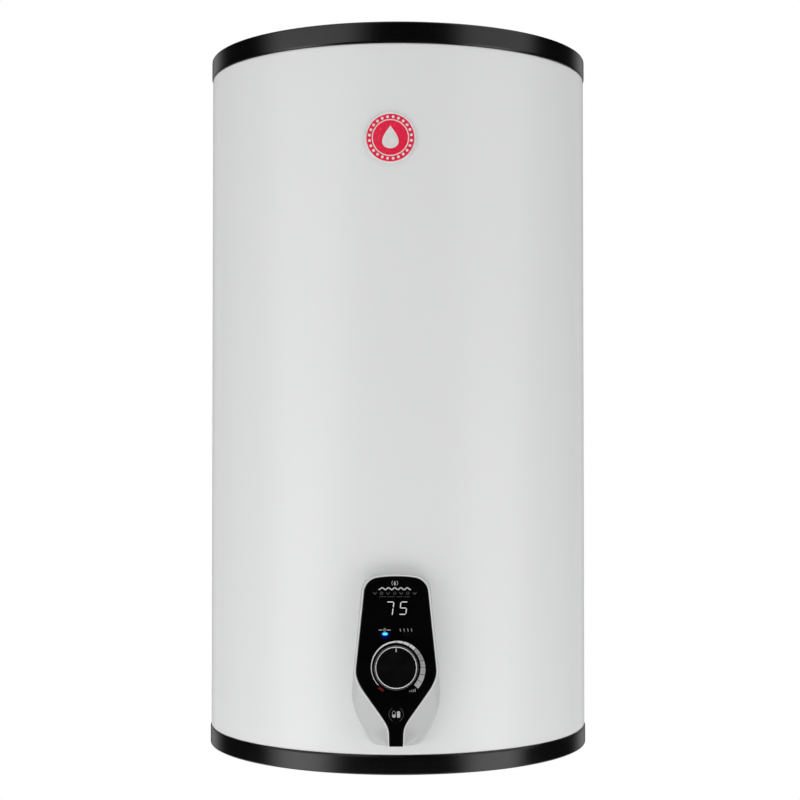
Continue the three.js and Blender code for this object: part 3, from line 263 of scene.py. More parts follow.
def brushed(name, colour, rough, stretch, **numbers):
    material, tree = shader(name, Metallic=1.0, **numbers)
    lines = tree.noise(260.0, 4, stretch, 0.7)
    drift = tree.noise(14.0, 3)
    dark = tuple(0.82 * channel for channel in colour)
    tree.connect(
        Base_Color=tree.mix(tree.ramp(drift, 0.3, 0.7), rgba(colour), rgba(dark)),
        Roughness=tree.ramp(lines, 0.25, 0.75, *rough),
        Normal=tree.bump(lines, 0.00001, 0.6),
    )
    return material


def galvanised():
    """Hot-dip zinc: spangles that each catch the light their own way, and a dull bloom."""
    material, tree = shader("galvanised", Metallic=0.9)
    spangle = tree.cells(170.0)
    fine = tree.noise(600.0, 3)
    bloom = tree.ramp(tree.noise(16.0, 5, rough=0.65), 0.4, 0.7)
    chance = tree.add("SeparateColor", {0: spangle.outputs["Color"]}).outputs
    tone = tree.ramp(chance[0], 0, 1, 0.42, 0.68, False)
    flake = tree.add("CombineColor", {0: tone, 1: tone, 2: tree.math("MULTIPLY", tone, 1.04)}).outputs[0]
    facets = tree.bump(spangle.outputs["Distance"], 0.00004, 0.4)
    tree.connect(
        Base_Color=tree.mix(tree.math("MULTIPLY", bloom, 0.55), flake, rgba((0.50, 0.51, 0.52))),
        Roughness=tree.ramp(chance[1], 0, 1, 0.30, 0.52, False),
        Normal=tree.bump(fine, 0.00003, 0.5, facets),
    )
    return material


def glowing(name, colour, strength):
    """A lit display segment: an even light with a fine grain."""
    dull, weak = (tuple(share * channel for channel in colour) for share in (0.3, 0.93))
    material, tree = shader(name, Base_Color=rgba(dull), Emission_Strength=strength)
    dots = tree.noise(1500.0, 2)
    tree.connect(
        Roughness=tree.ramp(dots, 0.3, 0.7, 0.2, 0.3),
        Emission_Color=tree.mix(dots, rgba(weak), rgba(colour)),
    )
    return material


def from_lamp(tree, drop, size):
    """How far a point is from the lamp's middle, lowered by a drop, in half sizes of an oval."""
    where = tree.add("TexCoord").outputs["Object"]
    middle = row(*leaned(PANEL_X + POWER_X, FASCIA_Y, LAMP_Z - drop))
    offset = tree.add("VectorMath", {0: where, 1: middle}, operation="SUBTRACT")
    scale = (1 / (size[0] * MM), 0, 1 / (size[1] * MM))
    scaled = tree.add("VectorMath", {0: offset.outputs[0], 1: scale}, operation="MULTIPLY")
    return tree.add("VectorMath", {0: scaled.outputs[0]}, operation="LENGTH").outputs[1]


def lamp_lens():
    """A lit blue lens: pale cyan in the middle, deeper blue to its rim."""
    material, tree = shader("lamp_lens", Emission_Strength=1.0, Roughness=0.12)
    share = tree.ramp(from_lamp(tree, 0, LAMP_SIZE), 0.45, 1.05)
    colour = tree.mix(share, rgba((0.06, 0.62, 0.95)), rgba((0.01, 0.22, 0.85)))
    tree.connect(Base_Color=colour, Emission_Color=colour)
    return material


def lamp_glow():
    """The light that the lit lens spreads in the black window, mostly below it."""
    material, tree = shader("lamp_glow", Emission_Strength=1.0, Roughness=0.06)
    fade = tree.ramp(from_lamp(tree, 1.4, (5.6, 4.6)), 1.0, 0.25)
    colour = tree.mix(fade, rgba(0), rgba((0.0, 0.002, 0.13)))
    tree.connect(Emission_Color=colour, Base_Color=tree.mix(fade, rgba(0.0010), rgba(0.0016)))
    return material


def fascia_glass():
    material, tree = shader("fascia_glass", IOR=1.45, Specular_IOR_Level=0.4)
    smear = tree.ramp(tree.noise(30.0, 5, (1, 1, 2), 0.65), 0.35, 0.75, 0.03, 0.09)
    tint = tree.ramp(tree.noise(60.0, 3), 0.3, 0.7)
    tree.connect(
        Base_Color=tree.mix(tint, rgba(0.0008), rgba(0.0016)),
        Roughness=smear,
        Normal=tree.bump(tree.noise(12.0, 1), 0.0002, 0.05),
    )
    return material


def red_enamel():
    material, tree = shader("red_enamel", IOR=1.5, Coat_Weight=0.5, Coat_Roughness=0.05)
    pool = tree.ramp(tree.noise(120.0, 4), 0.3, 0.7)
    tree.connect(
        Base_Color=tree.mix(pool, rgba((0.86, 0.026, 0.078)), rgba((0.80, 0.020, 0.064))),
        Roughness=tree.ramp(tree.noise(300.0, 2), 0.3, 0.7, 0.20, 0.30),
        Normal=tree.bump(tree.noise(90.0, 2), 0.00006, 0.4),
    )
    return material


KNOB_AT = row(PANEL_X, FASCIA_Y, KNOB_Z)  # the point the panel leans about
# Plain looks: two tones, the range of roughness, the grain's scale and depth (m), the tones' scale.
PLAIN = {
    # white_plastic and the rim's entry below are one white plastic in two tones: the sides' tone is darkened
    # as painted shade, and the rim's lighter tone is a painted highlight line round the window.
    "white_plastic": ((0.470, 0.473, 0.478), (0.460, 0.463, 0.468), (0.30, 0.36), 900, 6e-6, 3),
    "rim_painted_highlight": ((0.700, 0.703, 0.708), (0.690, 0.693, 0.698), (0.24, 0.30), 900, 6e-6, 3),
    "knob_side": (0.004, 0.007, (0.18, 0.28), 900, 1e-5),
    "badge_print": ((0.80, 0.79, 0.77), (0.70, 0.70, 0.68), (0.30, 0.42), 900, 1e-5, 90),
    "white_print": (0.52, 0.44, (0.35, 0.50), 1500, 1e-5, 60),
    "scale_print": (0.48, 0.36, (0.35, 0.50), 1500, 1e-5, 120),
    "scale_bright": (0.86, 0.78, (0.35, 0.50), 1500, 2e-6, 60),
    "dim_print": (0.40, 0.33, (0.35, 0.50), 1500, 2e-6, 60),
    "faint_print": (0.12, 0.08, (0.35, 0.50), 1500, 1e-5, 90),
    "red_print": ((0.16, 0.001, 0.006), (0.11, 0.001, 0.004), (0.35, 0.50), 1500, 1e-5, 90),
    "dark_lens": ((0.0012, 0.001, 0.001), (0.0018, 0.0012, 0.001), (0.05, 0.09), 1500, 2e-6),
    "enamelled_steel": ((0.035, 0.055, 0.11), (0.05, 0.075, 0.14), (0.16, 0.30), 260, 8e-5),
    "foam": ((0.78, 0.66, 0.34), (0.68, 0.55, 0.26), (0.80, 0.95), 900, 6e-4, 30),
    "rubber": (0.018, 0.03, (0.60, 0.80), 900, 6e-5),
    "red_plastic": ((0.55, 0.02, 0.03), (0.47, 0.015, 0.02), (0.30, 0.42), 900, 3e-5),
    "blue_plastic": ((0.02, 0.09, 0.45), (0.015, 0.07, 0.38), (0.30, 0.42), 900, 3e-5),
    "beige_plastic": ((0.62, 0.56, 0.42), (0.55, 0.49, 0.36), (0.45, 0.60), 900, 3e-5),
    "circuit_board": ((0.012, 0.10, 0.03), (0.02, 0.16, 0.05), (0.30, 0.45), 800, 3e-5, 160),
}
BADGE_TONES = ((0.84, 0.80, 0.80), (0.78, 0.75, 0.75))
ANODE_TONES = ((0.42, 0.42, 0.43), (0.30, 0.30, 0.31))
M = {name: surface(name, *numbers) for name, numbers in PLAIN.items()}
M.update({
    "paint": painted_steel(),
    "cap": cap_plastic(),
    "glass": fascia_glass(),
    "knob_black": spun_metal(),
    "bright": brushed("bright_ring", (0.80, 0.80, 0.81), (0.16, 0.28), (1, 40, 1)),
    "dim_ring": brushed("dim_ring", (0.22, 0.22, 0.23), (0.22, 0.34), (1, 40, 1)),
    "plated": brushed("plated_steel", (0.62, 0.63, 0.65), (0.22, 0.36), (1, 1, 30)),
    "copper": brushed("copper", (0.72, 0.33, 0.18), (0.25, 0.42), (1, 1, 8)),
    "badge_metal": surface("badge_metal", *BADGE_TONES, (0.28, 0.38), 900, 6e-6, Metallic=0.35),
    "magnesium": surface("magnesium", *ANODE_TONES, (0.50, 0.70), 500, 1e-4, Metallic=0.8),
    "enamel": red_enamel(),
    "galvanised": galvanised(),
    "lens": lamp_lens(),
    "glow": lamp_glow(),
    "digits": glowing("digits", (0.80, 0.82, 0.86), 0.72),
})


# ---------------------------------------------------------------- meshes
def add_mesh(name, verts, faces, look, body="root", slot=None, replaces=(), sharp=35, soft=True, panel=False):
    """One piece of the picture; with panel=True its points are those of the upright panel."""
    if panel:
        verts = [leaned(*v) for v in verts]
    mesh = bpy.data.meshes.new(name)
    mesh.from_pydata([row(*v) for v in verts], [], faces)
    shape = bmesh.new()
    shape.from_mesh(mesh)
    bmesh.ops.remove_doubles(shape, verts=shape.verts, dist=1e-7)
    bmesh.ops.recalc_face_normals(shape, faces=shape.faces)
    shape.to_mesh(mesh)
    shape.free()
    mesh.polygons.foreach_set("use_smooth", [True] * len(mesh.polygons))
    mesh.set_sharp_from_angle(angle=math.radians(sharp))
    mesh.materials.append(M[look])
    piece = bpy.data.objects.new(name, mesh)
    bpy.context.scene.collection.objects.link(piece)
    if soft:
        weigh = piece.modifiers.new("normals", "WEIGHTED_NORMAL")
        weigh.keep_sharp = True
    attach(piece, body)
    if replaces:
        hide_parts(*replaces)
    return piece


def fillet(points, closed=True, steps=4):
    """Rounds the corners of a profile: each point is (r, z) or (r, z, corner radius)."""
    out = []
    count = len(points)
    for i, point in enumerate(points):
        here = Vector(point[:2])
        radius = point[2] if len(point) > 2 else 0
        if not radius or (not closed and i in (0, count - 1)):
            out.append(here)
            continue
        before = Vector(points[i - 1][:2]) - here
        after = Vector(points[(i + 1) % count][:2]) - here
        back = radius / math.tan(before.angle(after) / 2)
        a = here + before.normalized() * min(back, 0.48 * before.length)
        b = here + after.normalized() * min(back, 0.48 * after.length)
        for k in range(steps + 1):
            t = k / steps
            out.append(a.lerp(here, t).lerp(here.lerp(b, t), t))
    return out


def turned(profile, segments, centre=(0, 0, 0), facing="up", closed=True):
    """Vertices and faces of a profile turned about an axis: up, or front (towards -Y)."""
    verts, rings = [], []
    for radius, height in profile:
        if radius < 1e-6:
            rings.append([len(verts)])
            spots = [(0.0, 0.0)]
        else:
            rings.append(list(range(len(verts), len(verts) + segments)))
            turns = [2 * math.pi * k / segments for k in range(segments)]
            spots = [(radius * math.cos(turn), radius * math.sin(turn)) for turn in turns]
        for u, v in spots:
            local = (u, v, height) if facing == "up" else (u, -height, v)
            verts.append(tuple(c + o for c, o in zip(centre, local)))
    faces = []
    pairs = list(zip(rings, rings[1:]))
    if closed:
        pairs.append((rings[-1], rings[0]))
    for a, b in pairs:
        if len(a) == 1 and len(b) == 1:
            continue
        for k in range(segments):
            n = (k + 1) % segments
            if len(a) == 1:
                faces.append((a[0], b[k], b[n]))
            elif len(b) == 1:
                faces.append((a[k], b[0], a[n]))
            else:
                faces.append((a[k], b[k], b[n], a[n]))
    return verts, faces


def lathe(name, profile, look, segments=96, centre=(0, 0, 0), facing="up", steps=4, **options):
    verts, faces = turned(fillet(profile, steps=steps), segments, centre, facing)
    return add_mesh(name, verts, faces, look, **options)


def loft(sections, closed=False):
    """Faces through loops of (x, y, z) points, all of one length; closed joins the last to the first."""
    count = len(sections[0])
    verts = [p for section in sections for p in section]
    faces = []
    for s in range(len(sections) - (0 if closed else 1)):
        here, there = s * count, (s + 1) % len(sections) * count
        for i in range(count):
            n = (i + 1) % count
            faces.append((here + i, here + n, there + n, there + i))
    return verts, faces


def prism(low, high):
    """A body with two four-cornered ends."""
    return low + high, [(0, 1, 2, 3), (4, 5, 6, 7), (0, 1, 5, 4), (1, 2, 6, 5), (2, 3, 7, 6), (3, 0, 4, 7)]


def joined(*parts):
    verts, faces = [], []
    for some_verts, some_faces in parts:
        start = len(verts)
        verts += some_verts
        faces += [tuple(start + i for i in face) for face in some_faces]
    return verts, faces


# ---------------------------------------------------------------- outlines of the panel
def curve(controls, steps):
    points = []
    for k in range(steps + 1):
        t = k / steps
        level = [Vector(c) for c in controls]
        while len(level) > 1:
            level = [a.lerp(b, t) for a, b in zip(level, level[1:])]
        points.append((level[0].x, level[0].y))
    return points


STEPS = (6, 14, 8, 16, 8, 16, 4, 6)


def half_outline(stretches):
    points = []
    for controls, steps in zip(stretches, STEPS):
        points += curve(controls, steps)[1 if points else 0:]
    return points


def both_sides(half):
    return half + [(-x, z) for x, z in reversed(half[1:-1])]


def fascia_outline():
    shoulder, corner, widest = (20.9, TOP - 5), (34, TOP - 18), (42.4, BASE + 80.7)
    waist, neck, stem = (33.7, BASE + 56), (16, BASE + 31.4), (7.3, BASE + 9.8)
    return both_sides(half_outline([
        [(0, TOP - 3.4), (12, TOP - 3.4), shoulder],
        [shoulder, (26.5, TOP - 6), (32.2, TOP - 10.2), corner],
        [corner, widest],
        [widest, (43.1, BASE + 72.7), (40.2, BASE + 65.3), waist],
        [waist, neck],
        [neck, (10, BASE + 22.9), (7.3, BASE + 18.8), stem],
        [stem, (7, BASE)],
        [(7, BASE), (0, BASE)],
    ]))


def wing_outline():
    shoulder, corner, widest = (23, TOP - 1.6), (37.8, TOP - 16), (45.9, BASE + 78.7)
    hip, heel, toe = (47.2, BASE + 47.3), (41.4, BASE + 28.5), (30.8, BASE + 8)
    return both_sides(half_outline([
        [(0, TOP), (13, TOP), shoulder],
        [shoulder, (30.5, TOP - 2.8), (36.4, TOP - 8), corner],
        [corner, widest],
        [widest, (47.1, BASE + 66.7), (48.1, BASE + 56.3), hip],
        [hip, (46.4, BASE + 40.3), heel],
        [heel, toe],
        [toe, (26.8, BASE), (20, BASE)],
        [(20, BASE), (0, BASE)],
    ]))


def grown(outline, distance):
    """An outline moved outwards by a distance, or inwards where it is negative."""
    count = len(outline)
    out = []
    for i, (x, z) in enumerate(outline):
        here = Vector((x, z))
        before = (here - Vector(outline[i - 1])).normalized()
        after = (Vector(outline[(i + 1) % count]) - here).normalized()
        normal = Vector((-before.y - after.y, before.x + after.x)).normalized()
        square = max(normal.dot(Vector((-before.y, before.x))), 0.5)
        moved = here + normal * (distance / square)
        out.append((moved.x, moved.y))
    return out


def mixed(one, other, share):
    return [(a + (c - a) * share, b + (d - b) * share) for (a, b), (c, d) in zip(one, other)]


def front_loop(outline, y, floor=None):
    return [(PANEL_X + x, y, z if floor is None else max(z, floor)) for x, z in outline]


def arc(x, z, half_width, half_height, start, stop, steps):
    """Points along an oval, from start to stop in degrees clockwise from its top."""
    turns = [math.radians(start + (stop - start) * k / steps) for k in range(steps + 1)]
    return [(x + half_width * math.sin(t), z + half_height * math.cos(t)) for t in turns]


def circle(x, z, half_width, half_height, count):
    turns = [2 * math.pi * k / count for k in range(count)]
    return [(x + half_width * math.cos(t), z + half_height * math.sin(t)) for t in turns]


def plate(outline, holes, y_front, y_back, edge, hole_edge=0.15):
    """A flat plate facing the front with rounded edges, and rounded holes right through it."""
    rounding = ((1.0, 0.0), (0.62, 0.08), (0.29, 0.29), (0.08, 0.62), (0.0, 1.0))
    parts = []
    fronts, backs = [], []
    for loop, size, sign in [(outline, edge, -1)] + [(hole, hole_edge, 1) for hole in holes]:
        sections = []
        for inset, depth in rounding:
            sections.append(front_loop(grown(loop, sign * size * inset), y_front + size * depth))
        sections.append(front_loop(loop, y_back))
        parts.append(loft(sections))
        fronts.append(sections[0])
        backs.append(sections[-1])
    for loops in (fronts, backs):
        flat = [[Vector((x, z, 0)) for x, _, z in loop] for loop in loops]
        points = [p for loop in loops for p in loop]
        parts.append((points, [tuple(t) for t in tessellate_polygon(flat)]))
    return joined(*parts)


FASCIA = fascia_outline()
WING = wing_outline()
BEZEL = 1.7


# ---------------------------------------------------------------- casing
SHEET = 0.8
SEAM_HEIGHT, SEAM_HALF_WIDTH = 0.9, 6.5


def outer_shell():
    """The rolled sheet: a tube with its ends rolled in and a folded lock seam down the back."""
    segments = 288
    hem = [(-1.1, 0.0), (-0.75, 0.25), (-0.3, 0.9), (-0.08, 1.8), (0.0, 3.2)]
    levels = [(SHELL_LOW + z, dr) for dr, z in hem]
    levels += [(SHELL_LOW + 3.2 + (SHELL_HIGH - SHELL_LOW - 6.4) * k / 24, 0.0) for k in range(1, 24)]
    levels += [(SHELL_HIGH - z, dr) for dr, z in reversed(hem)]
    sections = []
    for z, dr in levels:
        ring = []
        for k in range(segments):
            angle = 2 * math.pi * k / segments
            across = (angle - math.pi / 2) * SHELL_R
            seam = SEAM_HEIGHT * max(0.0, 1 - (abs(across) / SEAM_HALF_WIDTH) ** 6)
            reach = SHELL_R + dr + seam
            ring.append((reach * math.cos(angle), reach * math.sin(angle), z))
        sections.append(ring)
    verts, faces = loft(sections)
    piece = add_mesh("shell_sheet", verts, faces, "paint", slot="white_steel", replaces=["outer_shell"],
                     soft=False)
    thick = piece.modifiers.new("sheet", "SOLIDIFY")
    thick.thickness = SHEET * MM
    thick.offset = -1


def caps():
    rim = CAP_R - 20
    top = CROWN - 6
    crown = [(rim * k / 12, top + 6 * math.cos(math.pi / 24 * k)) for k in range(13)]
    profile = crown + [
        (rim + 2, top - 1.5, 0.8), (rim + 5, top - 1.5, 0.8), (rim + 7, top, 1.5),
        (CAP_R, top, 2.0), (CAP_R, TOP_LOW + 11 + 1.6, 0.5), (CAP_R - 0.5, TOP_LOW + 11, 0.2),
        (SHELL_R - 1.2, TOP_LOW + 11), (SHELL_R - 1.2, TOP_LOW), (SHELL_R - 4, TOP_LOW),
        (SHELL_R - 4, top - 4), (0, top + 3),
    ]
    lathe("cap_top", profile, "cap", 256, slot="black_plastic", replaces=["top_cap"])
    spigot = span("bottom_cap")[1].z
    band = spigot - 11
    profile = [
        (70, 0.0, 1.0), (150, 0.0, 2), (154, 1.2, 2), (CAP_R - 14, 1.2, 2), (CAP_R - 10, 0.0, 2),
        (CAP_R, 0.0, 1.8), (CAP_R, band - 1.6, 0.5), (CAP_R - 0.5, band, 0.2),
        (SHELL_R - 1.2, band), (SHELL_R - 1.2, spigot), (SHELL_R - 4, spigot), (SHELL_R - 4, 4.2),
        (70, 3.0),
    ]
    lathe("cap_bottom", profile, "cap", 256, slot="black_plastic", replaces=["bottom_cap"])


def service_cover():
    low, high = span("service_cover")
    edge = high.x
    lip = edge - 6.3
    profile = [
        (0, low.z + 0.9), (lip - 16, low.z + 0.9, 1), (lip - 14, low.z, 1), (edge, low.z, 1.2),
        (edge, -0.3, 0.2), (lip, -0.3), (lip, high.z, 0.6), (lip - 2.4, high.z, 0.6),
        (lip - 2.4, -0.3), (0, -0.3),
    ]
    lathe("service_lid", profile, "cap", 128, slot="black_plastic", replaces=["service_cover"])


def screw(name, node):
    """A pan-head screw with a cross recess."""
    x, y, radius, low, high = upright(node)
    head = low + 2.2
    profile = [
        (0, low + 0.05), (radius * 0.55, low + 0.15), (radius * 0.85, low + 0.7),
        (radius, head - 0.4, 0.3), (radius, head), (1.5, head), (1.5, high, 0.3), (0, high),
    ]
    slot_size = (radius * 0.55, 0.45)
    bars = []
    for a, b in (slot_size, slot_size[::-1]):
        foot = [(x - a, y - b), (x + a, y - b), (x + a, y + b), (x - a, y + b)]
        bars.append(prism([(u, v, low - 0.02) for u, v in foot], [(u, v, low + 0.1) for u, v in foot]))
    lathe(name, profile, "plated", 32, centre=(x, y, 0), slot="plated_steel", replaces=[node])
    verts, faces = joined(*bars)
    add_mesh(name + "_recess", verts, faces, "knob_side", slot="plated_steel")


def pipe(name, node, collar_name, collar_node, collar_look):
    """A threaded nipple: a helical thread on its free end, and a bore right through."""
    x, y, outer, low, high = upright(node)
    bore = 7.5
    pitch, depth, turns = 1.814, 1.0, 9
    segments, per_turn = 72, 8
    thread_low = low + 0.6
    end = thread_low + pitch * turns
    rows = [(bore, low + 0.8), (bore + 0.8, low), (outer - 1.3, low), (outer - 1.0, low + 0.3)]
    threaded = range(len(rows), len(rows) + turns * per_turn + 1)
    rows += [(outer, thread_low + pitch * k / per_turn) for k in range(len(threaded))]
    rows += [(outer - 0.4, end + 0.6), (outer, end + 1.4), (outer, high), (bore, high)]
    sections = []
    for i, (radius, z) in enumerate(rows):
        ring = []
        for k in range(segments):
            angle = 2 * math.pi * k / segments
            r = radius
            if i in threaded:
                phase = ((z - thread_low) / pitch - k / segments) % 1.0
                wave = 1 - abs(2 * phase - 1)
                fade = min(1.0, (z - thread_low) / pitch, (end - z) / pitch)
                r = outer - depth * (1 - max(0.0, min(1.0, wave * 1.3 - 0.1)) * max(fade, 0.0))
            ring.append((x + r * math.cos(angle), y + r * math.sin(angle), z))
        sections.append(ring)
    verts, faces = loft(sections, closed=True)
    add_mesh(name, verts, faces, "plated", slot="plated_steel", replaces=[node], sharp=50)
    _, _, edge, low, high = upright(collar_node)
    profile = [
        (outer + 0.3, low + 0.6), (outer + 0.9, low, 0.3), (edge - 0.6, low, 0.8),
        (edge, low + 1.4, 0.5), (edge, -0.3, 0.2), (outer + 3, -0.3), (outer + 3, high, 0.3),
        (outer + 0.3, high),
    ]
    lathe(collar_name, profile, collar_look, 64, centre=(x, y, 0), slot=collar_look, replaces=[collar_node])


def cable_gland():
    """The cable's gland: a bored body, and a nut with grip ribs."""
    x, y, _, low, high = upright("cable_gland")
    bore = 4.2
    profile = [
        (bore, low + 0.8), (bore + 0.8, low, 0.3), (7, low, 0.8), (9, low + 4, 0.5), (9, -6.2, 0.4),
        (10.2, -6.2, 0.4), (12, -4.6, 0.6), (12, -0.3, 0.3), (8, -0.3), (8, high, 0.5),
        (bore, high, 0.5),
    ]
    lathe("gland_body", profile, "knob_side", 48, centre=(x, y, 0), slot="black_plastic",
          replaces=["cable_gland"])
    ribs = []
    rib = ((8.8, -0.55), (9.6, -0.3), (9.6, 0.3), (8.8, 0.55))
    for k in range(18):
        angle = 2 * math.pi * k / 18
        u, v = math.cos(angle), math.sin(angle)
        foot = [(x + r * u - w * v, y + r * v + w * u) for r, w in rib]
        ribs.append(prism(*[[(*point, z) for point in foot] for z in (low + 4.6, -6.8)]))
    verts, faces = joined(*ribs)
    add_mesh("gland_grip", verts, faces, "knob_side", slot="black_plastic")


# ---------------------------------------------------------------- control panel
def panel_housing():
    """The white body: a narrow rolled rim round the window, and crowned sides down to the sheet. The rim is
    in a lighter copy of the plastic as a painted highlight, the sides in a darker copy as painted shade.
    """
    seat = grown(FASCIA, 0.3)
    bezel = grown(FASCIA, BEZEL)
    front = FASCIA_Y - 0.3
    sections = [front_loop(seat, FASCIA_BACK + 0.3, BASE)]
    roll = ((0, 0.5), (0.1, 0.18), (0.28, 0.03), (0.5, 0), (0.72, 0.03), (0.9, 0.18), (1, 0.5), (1, 1.1))
    for share, drop in roll:
        sections.append(front_loop(mixed(seat, bezel, share), front + drop, BASE))
    verts, faces = loft(sections)
    # painted highlight: the rim uses the lighter copy of the white plastic
    add_mesh("panel_rim", verts, faces, "rim_painted_highlight", slot="white_plastic", sharp=50, panel=True)

    def to_sheet(z):
        """Depth from the front of the rim to the sheet, which the panel leans away from."""
        return (PANEL_DEPTH - (z - KNOB_Z) * math.sin(TILT)) / math.cos(TILT) + 0.3

    rows = 16
    sections = []
    for k in range(rows + 1):
        t = k / rows
        outline = mixed(bezel, WING, math.sin(t * math.pi / 2) ** 0.95)
        out = front + 1.0
        sections.append([(PANEL_X + x, out + (to_sheet(z) - 1.0) * t, max(z, BASE)) for x, z in outline])
    sections.append([(PANEL_X + x, front + to_sheet(z) + 14, max(z, BASE)) for x, z in WING])
    verts, faces = loft(sections)
    # painted shade: the sides use the darker copy of the white plastic
    add_mesh("panel_shell", verts, faces, "white_plastic", slot="white_plastic", replaces=["panel_housing"],
             sharp=50, panel=True)


def lamp_loop(x, clearance):
    return circle(x, LAMP_Z, LAMP_SIZE[0] + clearance, LAMP_SIZE[1] + clearance, 32)


def fascia():
    outline = [(x, z - 0.8 if z < BASE + 0.01 else z) for x, z in FASCIA]
    button = circle(0, BUTTON_Z, BUTTON_R + 0.2, BUTTON_R + 0.2, 64)
    holes = [loop[::-1] for loop in (button, lamp_loop(POWER_X, 0.1), lamp_loop(HEATING_X, 0.02))]
    verts, faces = plate(outline, holes, FASCIA_Y, FASCIA_BACK, 0.7, 0.03)
    add_mesh("fascia_window", verts, faces, "glass", slot="gloss_black", replaces=["panel_fascia"], sharp=50,
             panel=True)


def lamps():
    power = ("power_lamp", POWER_X, "lens", "blue_lens")
    heating = ("heating_lamp", HEATING_X, "dark_lens", "dark_lens")
    for node, x, look, slot_name in (power, heating):
        sections = []
        for inset, depth in ((0.5, 0.0), (0.25, 0.02), (0.08, 0.08), (0.0, 0.3), (0.0, 8.0)):
            sections.append(front_loop(lamp_loop(x, -inset), FASCIA_Y + 0.02 + depth))
        verts, faces = loft(sections)
        count = len(sections[0])
        faces.append(tuple(range(count)))
        faces.append(tuple(range(len(verts) - count, len(verts))))
        add_mesh(node + "_lens", verts, faces, look, slot=slot_name, replaces=[node], sharp=60, panel=True)


def printed(name, loops, look, slot="white_plastic", y=None, body="root", thick=0.05):
    """Flat printed shapes on the front: each a loop of (x, z) points from the panel's centre line."""
    front = FASCIA_Y - 0.03 if y is None else y
    parts = []
    for loop in loops:
        count = len(loop)
        verts = front_loop(loop, front) + front_loop(loop, front + thick)
        sides = [(i, (i + 1) % count, count + (i + 1) % count, count + i) for i in range(count)]
        triangles = [tuple(t) for t in tessellate_polygon([[Vector((x, z, 0)) for x, z in loop]])]
        parts.append((verts, triangles + [tuple(count + i for i in t) for t in triangles] + sides))
    verts, faces = joined(*parts)
    return add_mesh(name, verts, faces, look, body=body, slot=slot, soft=False, sharp=20, panel=True)


def stroke(points, width, round_ends=True):
    """A band of one width along a line, with rounded ends."""
    line = [Vector(p) for p in points]
    left, right = [], []
    for i, point in enumerate(line):
        before = (point - line[i - 1]).normalized() if i else (line[1] - point).normalized()
        after = (line[i + 1] - point).normalized() if i + 1 < len(line) else before
        normal = Vector((-before.y - after.y, before.x + after.x)).normalized()
        square = max(normal.dot(Vector((-before.y, before.x))), 0.4)
        left.append(point + normal * (width / 2 / square))
        right.append(point - normal * (width / 2 / square))
    if not round_ends:
        return [tuple(p) for p in left + right[::-1]]

    def end(centre, start):
        arm = start - centre
        across = Vector((arm.y, -arm.x))
        turns = [math.pi * k / 6 for k in range(1, 6)]
        return [centre + arm * math.cos(t) + across * math.sin(t) for t in turns]

    out = left + end(line[-1], left[-1]) + right[::-1] + end(line[0], right[0])
    return [tuple(p) for p in out]


def sector(inner, outer, start, stop, steps=6):
    """A slice of a ring about the knob, with angles clockwise from the top in degrees."""
    angles = [math.radians(start + (stop - start) * k / steps) for k in range(steps + 1)]

    def at(radius, angle):
        return (radius * math.sin(angle), KNOB_Z + radius * math.cos(angle))

    far = [at(outer(math.degrees(a)), a) for a in angles]
    near = [at(inner(math.degrees(a)), a) for a in reversed(angles)]
    return far + near


def scale_arc():
    """A band that widens clockwise: one stretch to the top, then eight short ones and the red start."""
    widths = [(-134, 26.5), (-90, 26.8), (-45, 27.5), (0, 28.3), (45, 29.5), (90, 31.0), (134, 31.9)]

    def outer(angle):
        for (a, low), (b, high) in zip(widths, widths[1:]):
            if angle <= b:
                return low + (high - low) * (angle - a) / (b - a)
        return widths[-1][1]

    def inner(angle):
        return 25.9 + 0.4 * max(0.0, 1 - abs(angle) / 60)

    gap, step = 1.0, 14.8
    starts = [0.7 + k * step for k in range(9)]
    loops = [sector(inner, outer, start + gap / 2, start + step - gap / 2, 8) for start in starts]
    printed("scale_arc", [sector(inner, outer, -134, 0, 60)] + loops[:3], "scale_bright")
    printed("scale_steps", loops[3:], "scale_print")
    red = sector(lambda angle: 26.2, lambda angle: 28.9, -151, -138, 8)
    printed("scale_start", [red], "red_print", "red_plastic")


def digits():
    """The temperature, 75, in slanted display strokes."""
    low, high, middle = 175.2, 188.3, 181.9
    lines = [
        [(-11.5, high), (-6.0, high)],
        [(-5.0, high - 0.8), (-5.5, middle + 1.0)],
        [(-5.8, middle - 0.9), (-6.7, low - 0.2)],
        [(8.9, high), (3.6, high)],
        [(2.6, high - 0.9), (1.9, middle + 0.8)],
        [(2.7, middle), (7.5, middle)],
        [(8.5, middle - 0.9), (7.9, low + 1.1)],
        [(7.0, low), (1.4, low)],
    ]
    loops = [stroke([(x - PANEL_X, z) for x, z in line], 0.9) for line in lines]
    printed("display_digits", loops, "digits", y=FASCIA_Y - 0.04)


def drop_shape(x, z, size, steps=20, width=0.62):
    """A water drop: round below and pointed above."""
    points = []
    for k in range(steps):
        a = 2 * math.pi * k / steps
        points.append((x + size * width * math.sin(a) * math.sin(a / 2) ** 1.3, z + size * math.cos(a)))
    return points


def pill(x, z, half_width, half_height, steps=8):
    upper = arc(x, z + half_height - half_width, half_width, half_width, 90, -90, steps)
    lower = [(2 * x - px, 2 * z - pz) for px, pz in upper]
    return upper + lower


def ring_mark(x, z, radius, gap=0.0):
    """Points round a circle, open at the top by a gap in degrees."""
    return arc(x, z, radius, radius, gap / 2, 360 - gap / 2, 24)


